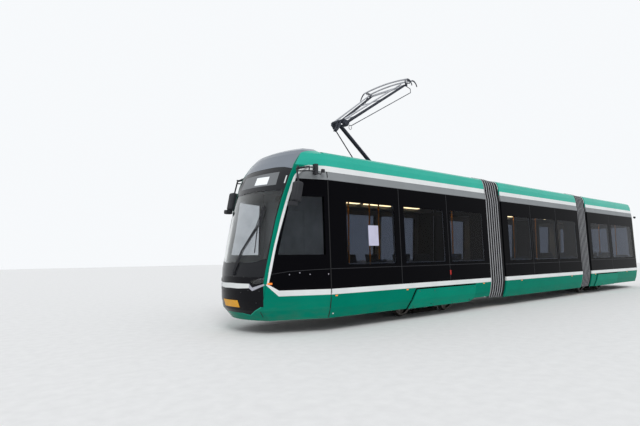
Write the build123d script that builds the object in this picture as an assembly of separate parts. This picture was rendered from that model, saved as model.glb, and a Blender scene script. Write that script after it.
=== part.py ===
from build123d import *
import os

# A three-section low-floor articulated tram, in millimetres.
# X runs from the datum (-X) to the tail (+X), Y runs across with the driver's left at -Y,
# and Z runs up from the lowest point of the wheel flanges. The origin is below the middle.

# Lengths of the three cars and of the two gangways between them
front_length = 7160
middle_length = 5140
rear_length = 5410
gangway_length = 800
overall_length = front_length + middle_length + rear_length + 2 * gangway_length

# Stations along X. Distances in the tables count from a datum that lies ahead of the nose.
datum_gap = 190
nose_x = -overall_length / 2
tail_x = overall_length / 2
datum_x = nose_x - datum_gap
front_end_x = nose_x + front_length
middle_start_x = front_end_x + gangway_length
middle_end_x = middle_start_x + middle_length
rear_start_x = middle_end_x + gangway_length
front_pivot_x = front_end_x + gangway_length / 2
rear_pivot_x = middle_end_x + gangway_length / 2
cab_seam_x = datum_x + 1660
tail_seam_x = tail_x - 700

# Heights of the edges that run along the whole side
skirt_bottom_z = 260
skirt_bend_z = 450
waist_bottom_z = 708
waist_top_z = 812
band_top_z = 2895
wall_top_z = 3060
stripe_top_z = 3170
roof_edge_z = 3420
roof_crown_z = 3480
dome_crown_z = 3560

# Half width of the body at each height
BODY_SECTION = [
    # height, half width
    (skirt_bottom_z, 1100),
    (skirt_bend_z, 1160),
    (waist_bottom_z, 1200),
    (waist_top_z, 1200),
    (band_top_z, 1120),
    (wall_top_z, 1090),
    (stripe_top_z, 1080),
    (3300, 1064),
    (roof_edge_z, 1020),
    (3462, 960),
    (roof_crown_z, 860),
    (dome_crown_z, 700),
]

# Panel thicknesses
wall_thickness = 60
skirt_thickness = 30
shroud_thickness = 30
cab_thickness = 50
glass_thickness = 12
door_thickness = 40

# Horizontal sections of the cab, from the skirt up to the roof
CAB_SECTION = [
    # height, setback of the nose, setback of the pillar, half width at the pillar
    (skirt_bottom_z, 400, 620, 660),
    (skirt_bend_z, 270, 450, 700),
    (640, 200, 430, 720),
    (waist_top_z, 190, 448, 745),
    (1200, 225, 489, 790),
    (1650, 325, 581, 803),
    (2100, 450, 683, 820),
    (2500, 595, 785, 845),
    (band_top_z, 780, 923, 875),
    (wall_top_z, 860, 998, 873),
    (stripe_top_z, 925, 1060, 860),
    (3300, 1000, 1150, 835),
    (roof_edge_z, 1080, 1240, 800),
    (3500, 1160, 1310, 755),
    (dome_crown_z, 1300, 1420, 650),
]

# Horizontal sections of the tail
TAIL_SECTION = [
    # height, setback of the tail, setback of the corner, half width at the corner
    (skirt_bottom_z, 180, 420, 960),
    (skirt_bend_z, 60, 330, 1040),
    (waist_top_z, 0, 300, 1060),
    (1300, 0, 300, 1055),
    (2000, 30, 310, 1035),
    (band_top_z, 130, 350, 990),
    (stripe_top_z, 190, 380, 950),
    (3300, 250, 425, 925),
    (roof_edge_z, 370, 490, 870),
    (3462, 500, 570, 760),
]

# Windscreen, mask and bumper of the cab
windscreen_bottom_z = 1060
windscreen_top_z = 3090
pillar_cut = 6
bumper_top_z = 700
CHIN_LINE = [
    # half width, height of the lower edge of the mask
    (200, 395),
    (390, 365),
    (670, 525),
]

# Side windows: clear openings in the black band
window_bottom_z = 1255
window_top_z = 2500
window_corner_radius = 45
LEFT_WINDOWS = {
    # car: (start, end) from the datum
    "front": [(2130, 3570), (3900, 5380), (5640, 7110)],
    "middle": [(8450, 9740), (9880, 11440), (11600, 13000)],
    "rear": [(14350, 15980), (16290, 18500)],
}
RIGHT_WINDOWS = {
    "front": [(3900, 5380), (5640, 7110)],
    "middle": [(8450, 9740), (11700, 13000)],
    "rear": [(14350, 15980)],
}
RIGHT_DOORS = {
    "front": [(2120, 3480)],
    "middle": [(10040, 11400)],
    "rear": [(16950, 18310)],
}
cab_window_bottom_z = 1460
cab_window_top_z = 2560
cab_window_end = 1570
cab_window_from_pillar = 130
door_bottom_z = 330
door_top_z = 2600
door_gap = 6
door_glass_margin = 130
door_glass_bottom_z = 700
door_glass_top_z = 2450

# Floor and ceiling
floor_z = 400
floor_depth = 80
slab_z = floor_z - floor_depth
aisle_z = floor_z + 50
aisle_half_width = 330
riser_thickness = 40
podest_z = 700
podest_depth = 45
sill_inner_y = 1020
step_edge_y = 1075
ceiling_z = 2740
ceiling_side_z = 2650
ceiling_half_width = 640

# Lifting pads under the floor: stations from the datum
JACKING_PLACES = {"front": [1900], "middle": [], "rear": [18300]}
jacking_pad_y = 900
jacking_pad_half = 70
jacking_pad_depth = 20

# Bogies
FRONT_BOGIE = 5350
REAR_BOGIE = 15500
wheelbase = 1750
wheel_radius = 280
flange_height = 25
wheel_width = 95
flange_thickness = 28
back_to_back = 936
axle_radius = 60
axle_z = wheel_radius + flange_height
bogie_clear = 1330
side_beam_y = 665
side_beam_width = 130
side_beam_bottom_z = 215
side_beam_top_z = 400
spring_radius = 105
spring_clearance = 0.3
bearing_clearance = 0.05

# Bogie covers, proud of the skirts
cover_proud = 26
BOGIE_COVERS = {
    # car: lower front, upper front, rear end, from the datum
    "front": (4010, 4240, 6600),
    "rear": (14480, 14600, 16560),
}
cover_bottom_z = 255
cover_top_z = 668
cover_chamfer = 70
skirt_to_cover = 25
short_skirt_bottom_z = 330

# Gangway arms, with a pin on the middle car's ones, and the floor plates over them
pin_radius = 60
arm_half_width = 180
lower_arm_z = 205
upper_arm_z = 266
arm_clearance = 5
plate_half_width = 600
plate_thickness = 25

# Gangway portals and bellows
portal_half_width = 640
portal_top_z = 2560
end_frame_thickness = 60
bellows_inset = 22
bellows_thickness = 70
bellows_rib = 18
bellows_rib_count = 9
bellows_bottom_z = 280
bellows_top_z = 3440

# Pantograph, on the roof of the front car; places are from the datum and above the flanges
lower_pivot = (4450, 3400)
knee = (3080, 4420)
crank_pin = (2860, 4260)
rod_foot = (3720, 3350)
strip_z = 5700
head_pivot_depth = 100
head_pivot = (4760, strip_z - head_pivot_depth)
lower_arm_radius = 46
knee_half_width = 110
head_arm_half_width = 540
upper_tube_radius = 21
head_tube_radius = 24
head_pin_radius = 12
head_pin_depth = 20
control_rod_radius = 13
strip_half_length = 715
strip_spacing = 190
insulator_radius = 55
base_frame_z = 3265
base_half_width = 440
base_front = 3560
base_rear = 4640
base_tube = 50

# Small sizes shared by the fittings
seat_gap = 0.3
disc_clearance = 8
display_bottom_z = 2750
driver_seat_width = 460
partition_start = 1710
partition_thickness = 35
cab_door_half = 330
cab_door_gap = 8
cab_door_top_z = 2380
hinge_offset = 18
hinge_radius = 12
hinge_pin_radius = 6
hinge_half = 30
hinge_plate = 60
hinge_play = 0.5
HINGE_HEIGHTS = [700, 2000]
mirror_tube_radius = 16
mirror_tilt = 11
rear_window_half = 800
axle_half_length = 735
spring_x = 430
motor_radius = 110
motor_length = 640
motor_z = 310
brake_half = 480
bracket_y = 180
rod_y = 76
rod_bracket_y = 22
pivot_radius = 20
leveller_radius = 10
rod_pin_radius = 12
rod_eye_half = 13

parts = {}


def add(name, *solids):
    parts[name] = list(solids)


def at(distance):
    """X of a distance from the datum."""
    return datum_x + distance


def interpolate(rows, z, column):
    """Value of a column at a height, in a table whose first column is the height."""
    for low, high in zip(rows, rows[1:]):
        if z <= high[0]:
            share = (z - low[0]) / (high[0] - low[0])
            return low[column] + share * (high[column] - low[column])
    return rows[-1][column]


def half_width(z):
    return interpolate(BODY_SECTION, z, 1)


def prism_x(points, x0, x1):
    """Solid with an outline of (y, z) points, from x0 to x1."""
    outline = Polyline(*[(x0, y, z) for y, z in points], close=True)
    return extrude(make_face(outline), amount=x1 - x0, dir=(1, 0, 0))


def prism_y(points, y0, y1):
    """Solid with an outline of (x, z) points, from y0 to y1."""
    outline = Polyline(*[(x, y0, z) for x, z in points], close=True)
    return extrude(make_face(outline), amount=y1 - y0, dir=(0, 1, 0))


def block(x0, x1, y0, y1, z0, z1):
    centre = Pos((x0 + x1) / 2, (y0 + y1) / 2, (z0 + z1) / 2)
    return centre * Box(x1 - x0, y1 - y0, z1 - z0)


def levels(z0, z1):
    """Heights of the section's corners between two heights, with both ends."""
    return [z0] + [row[0] for row in BODY_SECTION if z0 < row[0] < z1] + [z1]


def side_skin(side, x0, x1, z0, z1, thickness, proud=0):
    """Panel that follows the body's section on one side."""
    heights = levels(z0, z1)
    outer = [(side * (half_width(z) + proud), z) for z in heights]
    inner = [(side * (half_width(z) + proud - thickness), z) for z in reversed(heights)]
    return prism_x(outer + inner, x0, x1)


def rounded_opening(side, x0, x1, z0, z1, radius):
    """Cutter with rounded corners, through one side wall."""
    plane = Plane(origin=((x0 + x1) / 2, side * (half_width(waist_top_z) + 50), (z0 + z1) / 2),
                  x_dir=(1, 0, 0), z_dir=(0, -side, 0))
    return extrude(plane * RectangleRounded(x1 - x0, z1 - z0, radius), amount=250)


def tube(start, end, radius):
    """Round bar between two points."""
    path = Line(start, end)
    return sweep(Plane(origin=start, z_dir=path % 0) * Circle(radius), path=path)


def cylinder_y(x, z, y0, y1, radius):
    plane = Plane(origin=(x, y0, z), z_dir=(0, 1, 0))
    return extrude(plane * Circle(radius), amount=y1 - y0)


def cylinder_z(x, y, z0, z1, radius):
    return extrude(Plane(origin=(x, y, z0)) * Circle(radius), amount=z1 - z0)


def fuse(solids):
    result = solids[0]
    for solid in solids[1:]:
        result = result + solid
    return result


def common(shape, region):
    """Solids that two shapes share."""
    return (shape & region).solids()


# Cab and tail shells

reach = 2000


def plan_face(end_x, direction, row, seam_x, inset, z=None):
    """Horizontal face with an arc across the end and tapering sides."""
    z = row[0] if z is None else z
    tip = (end_x + direction * (row[1] + inset), 0, z)
    corner_x = end_x + direction * (row[2] + 0.44 * inset)
    corner_y = row[3] - 0.92 * inset
    seam_y = half_width(row[0]) - inset
    left, right = (corner_x, -corner_y, z), (corner_x, corner_y, z)
    nose = ThreePointArc(left, tip, right)
    back = Polyline(right, (seam_x, seam_y, z), (seam_x, -seam_y, z), left)
    return make_face([nose, back])


def end_shell(end_x, direction, rows, seam_x, thickness):
    """Hollow end of the body: a ruled loft less a second one inside it."""
    outer = loft([plan_face(end_x, direction, row, seam_x, 0) for row in rows], ruled=True)
    inner_seam = seam_x + direction * 20
    inner_rows = [row for row in rows if row[0] < rows[-1][0] - thickness]
    top = [interpolate(rows, rows[-1][0] - thickness, column) for column in range(4)]
    faces = [plan_face(end_x, direction, rows[0], inner_seam, thickness, rows[0][0] - 20)]
    faces += [plan_face(end_x, direction, row, inner_seam, thickness) for row in inner_rows]
    faces.append(plan_face(end_x, direction, top, inner_seam, thickness))
    inside = loft(faces, ruled=True)
    x0, x1 = sorted((seam_x, seam_x - direction * thickness))
    bulkhead = outer & block(x0, x1, -reach, reach, wall_top_z, dome_crown_z)
    return outer - inside + bulkhead, outer, inside


cab_shell, cab_solid, cab_inside = end_shell(datum_x, 1, CAB_SECTION, cab_seam_x, cab_thickness)
tail_shell, tail_solid, tail_inside = end_shell(tail_x, -1, TAIL_SECTION, tail_seam_x,
                                                cab_thickness)

pillar_line = [(at(row[2] + pillar_cut), row[0]) for row in CAB_SECTION]
ahead_of_pillar = prism_y([(datum_x - reach, 0), (pillar_line[0][0], 0)] + pillar_line
                          + [(pillar_line[-1][0], 3600), (datum_x - reach, 3600)], -reach, reach)
chin_left = [(-half, z) for half, z in reversed(CHIN_LINE)]
above_chin = prism_x([(-reach, CHIN_LINE[-1][1])] + chin_left + CHIN_LINE
                     + [(reach, CHIN_LINE[-1][1]), (reach, 4000), (-reach, 4000)],
                     datum_x - reach, cab_seam_x)


def slab(z0, z1):
    return block(datum_x - reach, tail_x + reach, -reach, reach, z0, z1)


front_face = cab_shell & ahead_of_pillar
behind_pillar = cab_shell - ahead_of_pillar
mask_region = above_chin & slab(0, windscreen_bottom_z)

add("windscreen", *common(front_face, slab(windscreen_bottom_z, windscreen_top_z)))
add("front_mask", *common(front_face, mask_region))
bumper_front = front_face & (slab(0, bumper_top_z) - above_chin)
bumper_sides = behind_pillar & slab(0, bumper_top_z)
add("front_bumper", *(bumper_front + bumper_sides).solids())


# Cab sides, with a window whose front edge is parallel to the pillar

def pillar_at(z):
    return at(interpolate(CAB_SECTION, z, 2) + cab_window_from_pillar)


cab_window = prism_y([(pillar_at(cab_window_bottom_z), cab_window_bottom_z),
                      (at(cab_window_end), cab_window_bottom_z),
                      (at(cab_window_end), cab_window_top_z),
                      (pillar_at(cab_window_top_z), cab_window_top_z)], -reach, reach)
cab_side_shell = behind_pillar & slab(bumper_top_z, wall_top_z)
add("cab_sides", *(cab_side_shell - cab_window).solids())
glass_shell = end_shell(datum_x, 1, CAB_SECTION, cab_seam_x, glass_thickness)[0]
cab_glass = common(glass_shell, cab_window & slab(0, wall_top_z))

# Roof dome in front, and the green shroud ends beside it
shroud_inner_y = 800
beside_roof = (block(datum_x, cab_seam_x, -reach, -shroud_inner_y, wall_top_z, 4000)
               + block(datum_x, cab_seam_x, shroud_inner_y, reach, wall_top_z, 4000))
cab_shroud = common(behind_pillar, beside_roof)
dome_front = front_face & slab(windscreen_top_z, 4000)
dome_rear = (behind_pillar & slab(wall_top_z, 4000)) - beside_roof
add("roof_dome", *(dome_front + dome_rear).solids())


# Cars between the cab and the tail

CARS = {
    # car: start and end of its straight body
    "front": (cab_seam_x, front_end_x),
    "middle": (middle_start_x, middle_end_x),
    "rear": (rear_start_x, tail_seam_x),
}


def sill(side, x0, x1):
    """Side sill under a wall, from the underside of the floor up."""
    heights = [floor_z - floor_depth, skirt_bend_z, bumper_top_z]
    outer = [(side * (half_width(z) - skirt_thickness), z) for z in heights]
    inner = [(side * sill_inner_y, bumper_top_z), (side * sill_inner_y, floor_z - floor_depth)]
    return prism_x(outer + inner, x0, x1)


def side_walls(car):
    """Both side walls with their sills, cut for the windows and doorways."""
    x0, x1 = CARS[car]
    left, right = [side_skin(side, x0, x1, bumper_top_z, wall_top_z, wall_thickness)
                   + sill(side, x0, x1) for side in (-1, 1)]
    for start, end in LEFT_WINDOWS[car]:
        left -= rounded_opening(-1, at(start), at(end), window_bottom_z, window_top_z,
                                window_corner_radius)
    for start, end in RIGHT_WINDOWS[car]:
        right -= rounded_opening(1, at(start), at(end), window_bottom_z, window_top_z,
                                 window_corner_radius)
    for start, end in RIGHT_DOORS[car]:
        right -= block(at(start), at(end), 1000, 1300, 0, door_top_z)
    return left.solids() + right.solids()


def leaves(car):
    """Start and end of each door leaf; a double doorway has two."""
    result = []
    for start, end in RIGHT_DOORS[car]:
        centre = (start + end) / 2
        result.append((start + door_gap, centre - door_gap / 2))
        result.append((centre + door_gap / 2, end - door_gap))
    return result


def door_cut(start, end):
    return rounded_opening(1, at(start + door_glass_margin), at(end - door_glass_margin),
                           door_glass_bottom_z, door_glass_top_z, window_corner_radius)


def doors(car):
    result = []
    for start, end in leaves(car):
        leaf = side_skin(1, at(start), at(end), door_bottom_z, door_top_z, door_thickness)
        result += (leaf - door_cut(start, end)).solids()
    return result


def window_glass(car):
    """Panes that fill the clear openings, flush with the outer face."""
    panes = []
    for side, table in ((-1, LEFT_WINDOWS), (1, RIGHT_WINDOWS)):
        for start, end in table[car]:
            skin = side_skin(side, at(start), at(end), window_bottom_z, window_top_z,
                             glass_thickness)
            panes += common(skin, rounded_opening(side, at(start), at(end), window_bottom_z,
                                                  window_top_z, window_corner_radius))
    for start, end in leaves(car):
        skin = side_skin(1, at(start), at(end), door_glass_bottom_z, door_glass_top_z,
                         glass_thickness)
        panes += common(skin, door_cut(start, end))
    return panes


def bogie_cover(car, side):
    """Plain panel over the bogie, with a slanted front edge and a cut lower rear corner."""
    low, high, end = BOGIE_COVERS[car]
    skin = side_skin(side, at(low) - 10, at(end), cover_bottom_z, cover_top_z,
                     skirt_thickness + cover_proud, cover_proud)
    outline = prism_y([(at(low), cover_bottom_z), (at(high), cover_top_z), (at(end), cover_top_z),
                       (at(end), cover_bottom_z + cover_chamfer),
                       (at(end) - 3 * cover_chamfer, cover_bottom_z)], -reach, reach)
    return common(skin, outline)


def skirts(car):
    """Skirt panels of both sides, cut at the doorways and round the bogie cover."""
    x0, x1 = CARS[car]
    result = []
    for side in (-1, 1):
        skin = side_skin(side, x0, x1, skirt_bottom_z, bumper_top_z, skirt_thickness)
        if side == 1:
            for start, end in RIGHT_DOORS[car]:
                skin -= block(at(start), at(end), 1000, 1300, 0, bumper_top_z)
        if car in BOGIE_COVERS:
            low, high, end = BOGIE_COVERS[car]
            gap = skirt_to_cover
            skin -= prism_y([(at(low) - gap, 0), (at(low) - gap, skirt_bottom_z),
                             (at(high) - gap, bumper_top_z), (at(end), bumper_top_z),
                             (at(end), 0)], -reach, reach)
            if car == "front":
                skin -= block(at(end), x1, -reach, reach, 0, short_skirt_bottom_z)
            result += bogie_cover(car, side)
        result += skin.solids()
    return result


def roof(car):
    """Roof deck with side ducts, over a shallow ceiling."""
    x0, x1 = CARS[car]
    deck = half_width(wall_top_z) - wall_thickness
    side = half_width(ceiling_side_z) - wall_thickness
    slope = half_width(band_top_z) - wall_thickness
    outline = [(-deck, wall_top_z), (deck, wall_top_z), (slope, band_top_z),
               (side, ceiling_side_z), (ceiling_half_width, ceiling_side_z),
               (ceiling_half_width - 60, ceiling_z), (60 - ceiling_half_width, ceiling_z),
               (-ceiling_half_width, ceiling_side_z), (-side, ceiling_side_z),
               (-slope, band_top_z)]
    return prism_x(outline, x0, x1)


# Equipment boxes on the roof decks: start and length from the datum, half width, height
ROOF_UNITS = {
    "front": [(2050, 1250, 620, 260), (5150, 1500, 620, 280)],
    "middle": [(8700, 1700, 620, 290), (10900, 1600, 620, 250)],
    "rear": [(14500, 1500, 620, 280), (16400, 1300, 620, 250)],
}


def roof_units(car):
    result = []
    for start, length, half, height in ROOF_UNITS[car]:
        unit = block(at(start), at(start + length), -half, half, wall_top_z, wall_top_z + height)
        result.append(chamfer(unit.edges().group_by(Axis.Z)[-1], 40))
    return result


def shrouds(car):
    x0, x1 = CARS[car]
    return [side_skin(side, x0, x1, wall_top_z, roof_crown_z, shroud_thickness)
            for side in (-1, 1)]


def bogie_tub(x0, x1):
    """Narrow aisle between raised podests over the wheels of a bogie."""
    inner = aisle_half_width
    outer = inner + podest_depth
    outline = [(-sill_inner_y, podest_z), (-sill_inner_y, podest_z - podest_depth),
               (-outer, podest_z - podest_depth), (-outer, aisle_z - podest_depth),
               (outer, aisle_z - podest_depth), (outer, podest_z - podest_depth),
               (sill_inner_y, podest_z - podest_depth), (sill_inner_y, podest_z),
               (inner, podest_z), (inner, aisle_z), (-inner, aisle_z), (-inner, podest_z)]
    return prism_x(outline, x0, x1)


def riser(x):
    """Upright between the low floor and the tub, open above the aisle."""
    inner = aisle_half_width
    outline = [(-sill_inner_y, slab_z), (sill_inner_y, slab_z), (sill_inner_y, podest_z),
               (inner, podest_z), (inner, aisle_z), (-inner, aisle_z), (-inner, podest_z),
               (-sill_inner_y, podest_z)]
    return prism_x(outline, x - riser_thickness / 2, x + riser_thickness / 2)


def deck(x0, x1):
    return block(x0, x1, -sill_inner_y, sill_inner_y, slab_z, floor_z)


def tub_and_risers(bogie):
    low, high = at(bogie) - bogie_clear, at(bogie) + bogie_clear
    return [bogie_tub(low, high), riser(low), riser(high)]


def low_decks(x0, x1, bogie):
    """Low floor before and behind the tub."""
    gap = bogie_clear + riser_thickness / 2
    return [deck(x0, at(bogie) - gap), deck(at(bogie) + gap, x1)]


def upper_arm_of(end_x, pivot_x):
    """Gangway arm with the bore, below the slab, and the lower floor plate."""
    back_x = end_x + (end_x - pivot_x) / 2
    low, high = sorted((back_x, pivot_x))
    plate_low, plate_high = sorted((end_x, pivot_x))
    arm = block(low, high, -arm_half_width, arm_half_width, upper_arm_z, slab_z)
    eye = cylinder_z(pivot_x, 0, upper_arm_z, slab_z, arm_half_width)
    plate = block(plate_low, plate_high, -plate_half_width, plate_half_width,
                  slab_z, slab_z + plate_thickness)
    bore = cylinder_z(pivot_x, 0, 0, floor_z, pin_radius + bearing_clearance)
    return arm + eye + plate, bore


def lower_arm_of(end_x, pivot_x):
    """Gangway arm that carries the pin, hung from the slab."""
    back_x = end_x + (end_x - pivot_x) / 2
    low, high = sorted((back_x, pivot_x))
    hang_low, hang_high = sorted((back_x, end_x))
    arm = block(low, high, -arm_half_width, arm_half_width, lower_arm_z,
                upper_arm_z - arm_clearance)
    eye = cylinder_z(pivot_x, 0, lower_arm_z, upper_arm_z - arm_clearance, arm_half_width)
    pin = cylinder_z(pivot_x, 0, lower_arm_z, slab_z + plate_thickness, pin_radius)
    hanger = block(hang_low, hang_high, -arm_half_width, arm_half_width, lower_arm_z, slab_z + 5)
    return arm + eye + pin + hanger


def jacking_pads(car):
    """Lifting pads under the slab, one on each side."""
    half = jacking_pad_half
    return [block(at(x) - half, at(x) + half, side * jacking_pad_y - half,
                  side * jacking_pad_y + half, slab_z - jacking_pad_depth, slab_z)
            for x in JACKING_PLACES[car] for side in (-1, 1)]


def underframe(car, decks, arms, bores):
    """Decks, door steps, lifting pads and arms in one welded piece, cut for the pins."""
    steps = [block(at(start + door_gap), at(end - door_gap), sill_inner_y, step_edge_y, slab_z,
                   floor_z) for start, end in RIGHT_DOORS[car]]
    result = fuse(decks + steps + jacking_pads(car) + arms)
    for bore in bores:
        result -= bore
    return result


def end_frame(x0, x1):
    """Portal frame that closes the end of a car round its gangway."""
    inner = wall_thickness
    heights = levels(bumper_top_z, wall_top_z)
    right = [(half_width(z) - inner, z) for z in heights if z <= ceiling_side_z]
    right = [(sill_inner_y, floor_z)] + [(sill_inner_y, bumper_top_z)] + right
    right.append((half_width(ceiling_side_z) - inner, ceiling_side_z))
    outline = right + [(-y, z) for y, z in reversed(right)]
    frame = prism_x(outline, x0, x1)
    return frame - block(x0 - 1, x1 + 1, -portal_half_width, portal_half_width,
                         slab_z, portal_top_z)


# Seats: a pan and back in one moulding, on a plinth
SEATS = {
    # car: (from the datum, side, floor level, direction that it faces)
    "front": [(4150, -1, podest_z, 1), (4950, -1, podest_z, 1), (5750, -1, podest_z, -1),
              (4150, 1, podest_z, 1), (4950, 1, podest_z, 1), (5750, 1, podest_z, -1),
              (2900, -1, floor_z, -1)],
    "middle": [(8500, -1, floor_z, 1), (9400, -1, floor_z, -1), (11500, -1, floor_z, 1),
               (12400, -1, floor_z, -1), (8500, 1, floor_z, 1), (12400, 1, floor_z, -1)],
    "rear": [(14300, -1, podest_z, 1), (15100, -1, podest_z, 1), (15900, -1, podest_z, -1),
             (14300, 1, podest_z, 1), (15100, 1, podest_z, 1), (15900, 1, podest_z, -1),
             (17750, -1, floor_z, -1)],
}
seat_depth = 430
seat_width = 440
seat_back_height = 520
seat_outer_y = 1040
seat_thickness = 45
podest_seat_height = 240
floor_seat_height = 430


def seat(x, side, base_z, facing, width=seat_width):
    height = podest_seat_height if base_z == podest_z else floor_seat_height
    top = base_z + height
    back_x = x if facing == 1 else x + seat_depth + 60
    front = back_x + facing * (seat_depth + 40)
    lean = facing * 60
    outline = [(front, top), (front, top - seat_thickness),
               (back_x + facing * 70, top - seat_thickness), (back_x - lean + facing * 60, top + 20),
               (back_x - lean, top + seat_back_height), (back_x - lean + facing * 40, top + seat_back_height),
               (back_x + facing * 110, top)]
    y0 = side * (seat_outer_y - width) if side != 0 else -width / 2
    y1 = side * seat_outer_y if side != 0 else width / 2
    shell = prism_y(outline, min(y0, y1), max(y0, y1))
    foot = block(min(back_x + facing * 110, back_x + facing * 330),
                 max(back_x + facing * 110, back_x + facing * 330),
                 min(y0, y1) + 120, max(y0, y1) - 120, base_z, top - seat_thickness)
    return shell + foot


# Poles from the floor to the ceiling: from the datum, across, foot level
POLES = {
    "front": [(2080, -700), (3560, -700), (3560, 780), (2080, 780)],
    "middle": [(9990, -500), (11450, -500), (9990, 880), (11450, 880)],
    "rear": [(16880, -500), (18380, -600), (16880, 880)],
}
pole_radius = 17


def handrails(car):
    return [cylinder_z(at(x), y, floor_z, ceiling_z if abs(y) < ceiling_half_width - 60
                       else ceiling_side_z, pole_radius) for x, y in POLES[car]]


for car in CARS:
    add(car + "_walls", *side_walls(car))
    add(car + "_doors", *doors(car))
    add(car + "_windows", *window_glass(car))
    add(car + "_skirts", *skirts(car))
    add(car + "_shrouds", *shrouds(car))
    add(car + "_handrails", *handrails(car))
    add(car + "_seats", *[seat(at(x), side, z, facing) for x, side, z, facing in SEATS[car]])
    add(car + "_roof", fuse([roof(car)] + roof_units(car)))

parts["front_windows"] += cab_glass
parts["front_shrouds"] += cab_shroud

# Underframes, with the arms of the two gangway pivots
cab_floor = [(at(570), 430), (at(720), 630), (cab_seam_x, 1025)]
cab_deck = extrude(make_face(Polyline(*[(x, y, slab_z) for x, y in cab_floor],
                                      *[(x, -y, slab_z) for x, y in reversed(cab_floor)],
                                      close=True)), amount=floor_depth)
front_arm, front_bore = upper_arm_of(front_end_x, front_pivot_x)
rear_arm, rear_bore = upper_arm_of(rear_start_x, rear_pivot_x)
front_decks = low_decks(cab_seam_x, front_end_x, FRONT_BOGIE)
add("front_floor", *underframe("front", front_decks + [cab_deck], [front_arm],
                               [front_bore]).solids())
add("front_bogie_tub", fuse(tub_and_risers(FRONT_BOGIE)))
add("middle_floor", underframe("middle", [deck(middle_start_x, middle_end_x)],
                               [lower_arm_of(middle_start_x, front_pivot_x),
                                lower_arm_of(middle_end_x, rear_pivot_x)], []))
rear_decks = low_decks(rear_start_x, tail_seam_x, REAR_BOGIE)
add("rear_floor", underframe("rear", tub_and_risers(REAR_BOGIE) + rear_decks, [rear_arm],
                             [rear_bore]))

add("front_end_frame", end_frame(front_end_x - end_frame_thickness, front_end_x))
add("middle_end_frames", end_frame(middle_start_x, middle_start_x + end_frame_thickness),
    end_frame(middle_end_x - end_frame_thickness, middle_end_x))
add("rear_end_frame", end_frame(rear_start_x, rear_start_x + end_frame_thickness))


def gangway_plate(end_x, pivot_x):
    """Upper floor plate of a gangway: a turning disc with a tongue to the middle car."""
    low, high = sorted((end_x, pivot_x))
    top = floor_z
    tongue = block(low, high, -plate_half_width, plate_half_width, top - plate_thickness, top)
    disc = cylinder_z(pivot_x, 0, top - plate_thickness, top, gangway_length / 2 - disc_clearance)
    return tongue + disc


add("gangway_floors", gangway_plate(middle_start_x, front_pivot_x),
    gangway_plate(middle_end_x, rear_pivot_x))


def bellows_outline(inset, top):
    heights = [bellows_bottom_z] + [row[0] for row in BODY_SECTION
                                    if bellows_bottom_z < row[0] < top] + [top]
    right = [(half_width(z) - inset, z) for z in heights]
    return right + [(-y, z) for y, z in reversed(right)]


def bellows(x0, x1):
    """Folded gangway cover over both sides and the top, with a row of ribs."""
    valley = bellows_inset + bellows_rib
    body = prism_x(bellows_outline(valley, bellows_top_z - bellows_rib), x0, x1)
    pitch = (x1 - x0) / bellows_rib_count
    for index in range(bellows_rib_count):
        start = x0 + index * pitch + pitch / 4
        body += prism_x(bellows_outline(bellows_inset, bellows_top_z), start, start + pitch / 2)
    hollow = [(y, z - 10 if z == bellows_bottom_z else z)
              for y, z in bellows_outline(valley + bellows_thickness,
                                          bellows_top_z - bellows_thickness)]
    return body - prism_x(hollow, x0 - 1, x1 + 1)


add("front_bellows", bellows(front_end_x + seat_gap, middle_start_x))
add("rear_bellows", bellows(middle_end_x, rear_start_x - seat_gap))


# Cab fittings

def face_x(y, z, offset):
    """X of the nose's curved face, moved out by an offset."""
    tip = interpolate(CAB_SECTION, z, 1)
    depth = interpolate(CAB_SECTION, z, 2) - tip
    half = interpolate(CAB_SECTION, z, 3)
    radius = (half * half + depth * depth) / (2 * depth)
    return at(tip + radius - (radius * radius - y * y) ** 0.5) - offset


lamp_cut = fuse([prism_x([(side * 500, 985), (side * 615, 1035), (side * 735, 1050),
                          (side * 735, 965), (side * 540, 925)], datum_x - reach, cab_seam_x)
                 for side in (-1, 1)])
mask = parts["front_mask"][0]
add("headlights", *common(mask, lamp_cut))
add("front_mask", *(mask - lamp_cut).solids())

display_face = [ThreePointArc((at(960), -560, display_bottom_z), (at(830), 0, display_bottom_z),
                              (at(960), 560, display_bottom_z)),
                Polyline((at(960), 560, display_bottom_z), (at(1070), 560, display_bottom_z),
                         (at(1070), -560, display_bottom_z), (at(960), -560, display_bottom_z))]
display = extrude(make_face(display_face), amount=700)
add("destination_display", *common(display, cab_inside))

desk = prism_y([(at(500), 760), (at(500), 985), (at(600), 1045), (at(900), 960), (at(900), 880),
                (at(700), 800)], -630, 630)
desk_leg = block(at(600), at(700), -420, 420, floor_z, 860)
add("driver_desk", desk + desk_leg)
cab_ceiling_z = ceiling_z + 60
cab_ceiling = extrude(make_face(Polyline((at(1080), -600, cab_ceiling_z),
                                         (cab_seam_x, -980, cab_ceiling_z),
                                         (cab_seam_x, 980, cab_ceiling_z),
                                         (at(1080), 600, cab_ceiling_z), close=True)), amount=40)
parts["front_roof"] = [parts["front_roof"][0] + (cab_ceiling & cab_inside)]
parts["front_seats"].append(seat(at(1080), 0, floor_z, -1, driver_seat_width))

wall_line = [(half_width(z) - wall_thickness, z) for z in levels(bumper_top_z, ceiling_side_z)]
partition_half = [(sill_inner_y, floor_z), (sill_inner_y, bumper_top_z)] + wall_line
partition_outline = partition_half + [(-y, z) for y, z in reversed(partition_half)]
partition_x = at(partition_start)
partition = prism_x(partition_outline, partition_x, partition_x + partition_thickness)
doorway = block(partition_x - 1, partition_x + partition_thickness + 1, -cab_door_half,
                cab_door_half, floor_z - 1, cab_door_top_z)
cab_door = block(partition_x, partition_x + partition_thickness, cab_door_gap - cab_door_half,
                 cab_door_half - cab_door_gap, floor_z + 2 * cab_door_gap,
                 cab_door_top_z - cab_door_gap)

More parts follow.
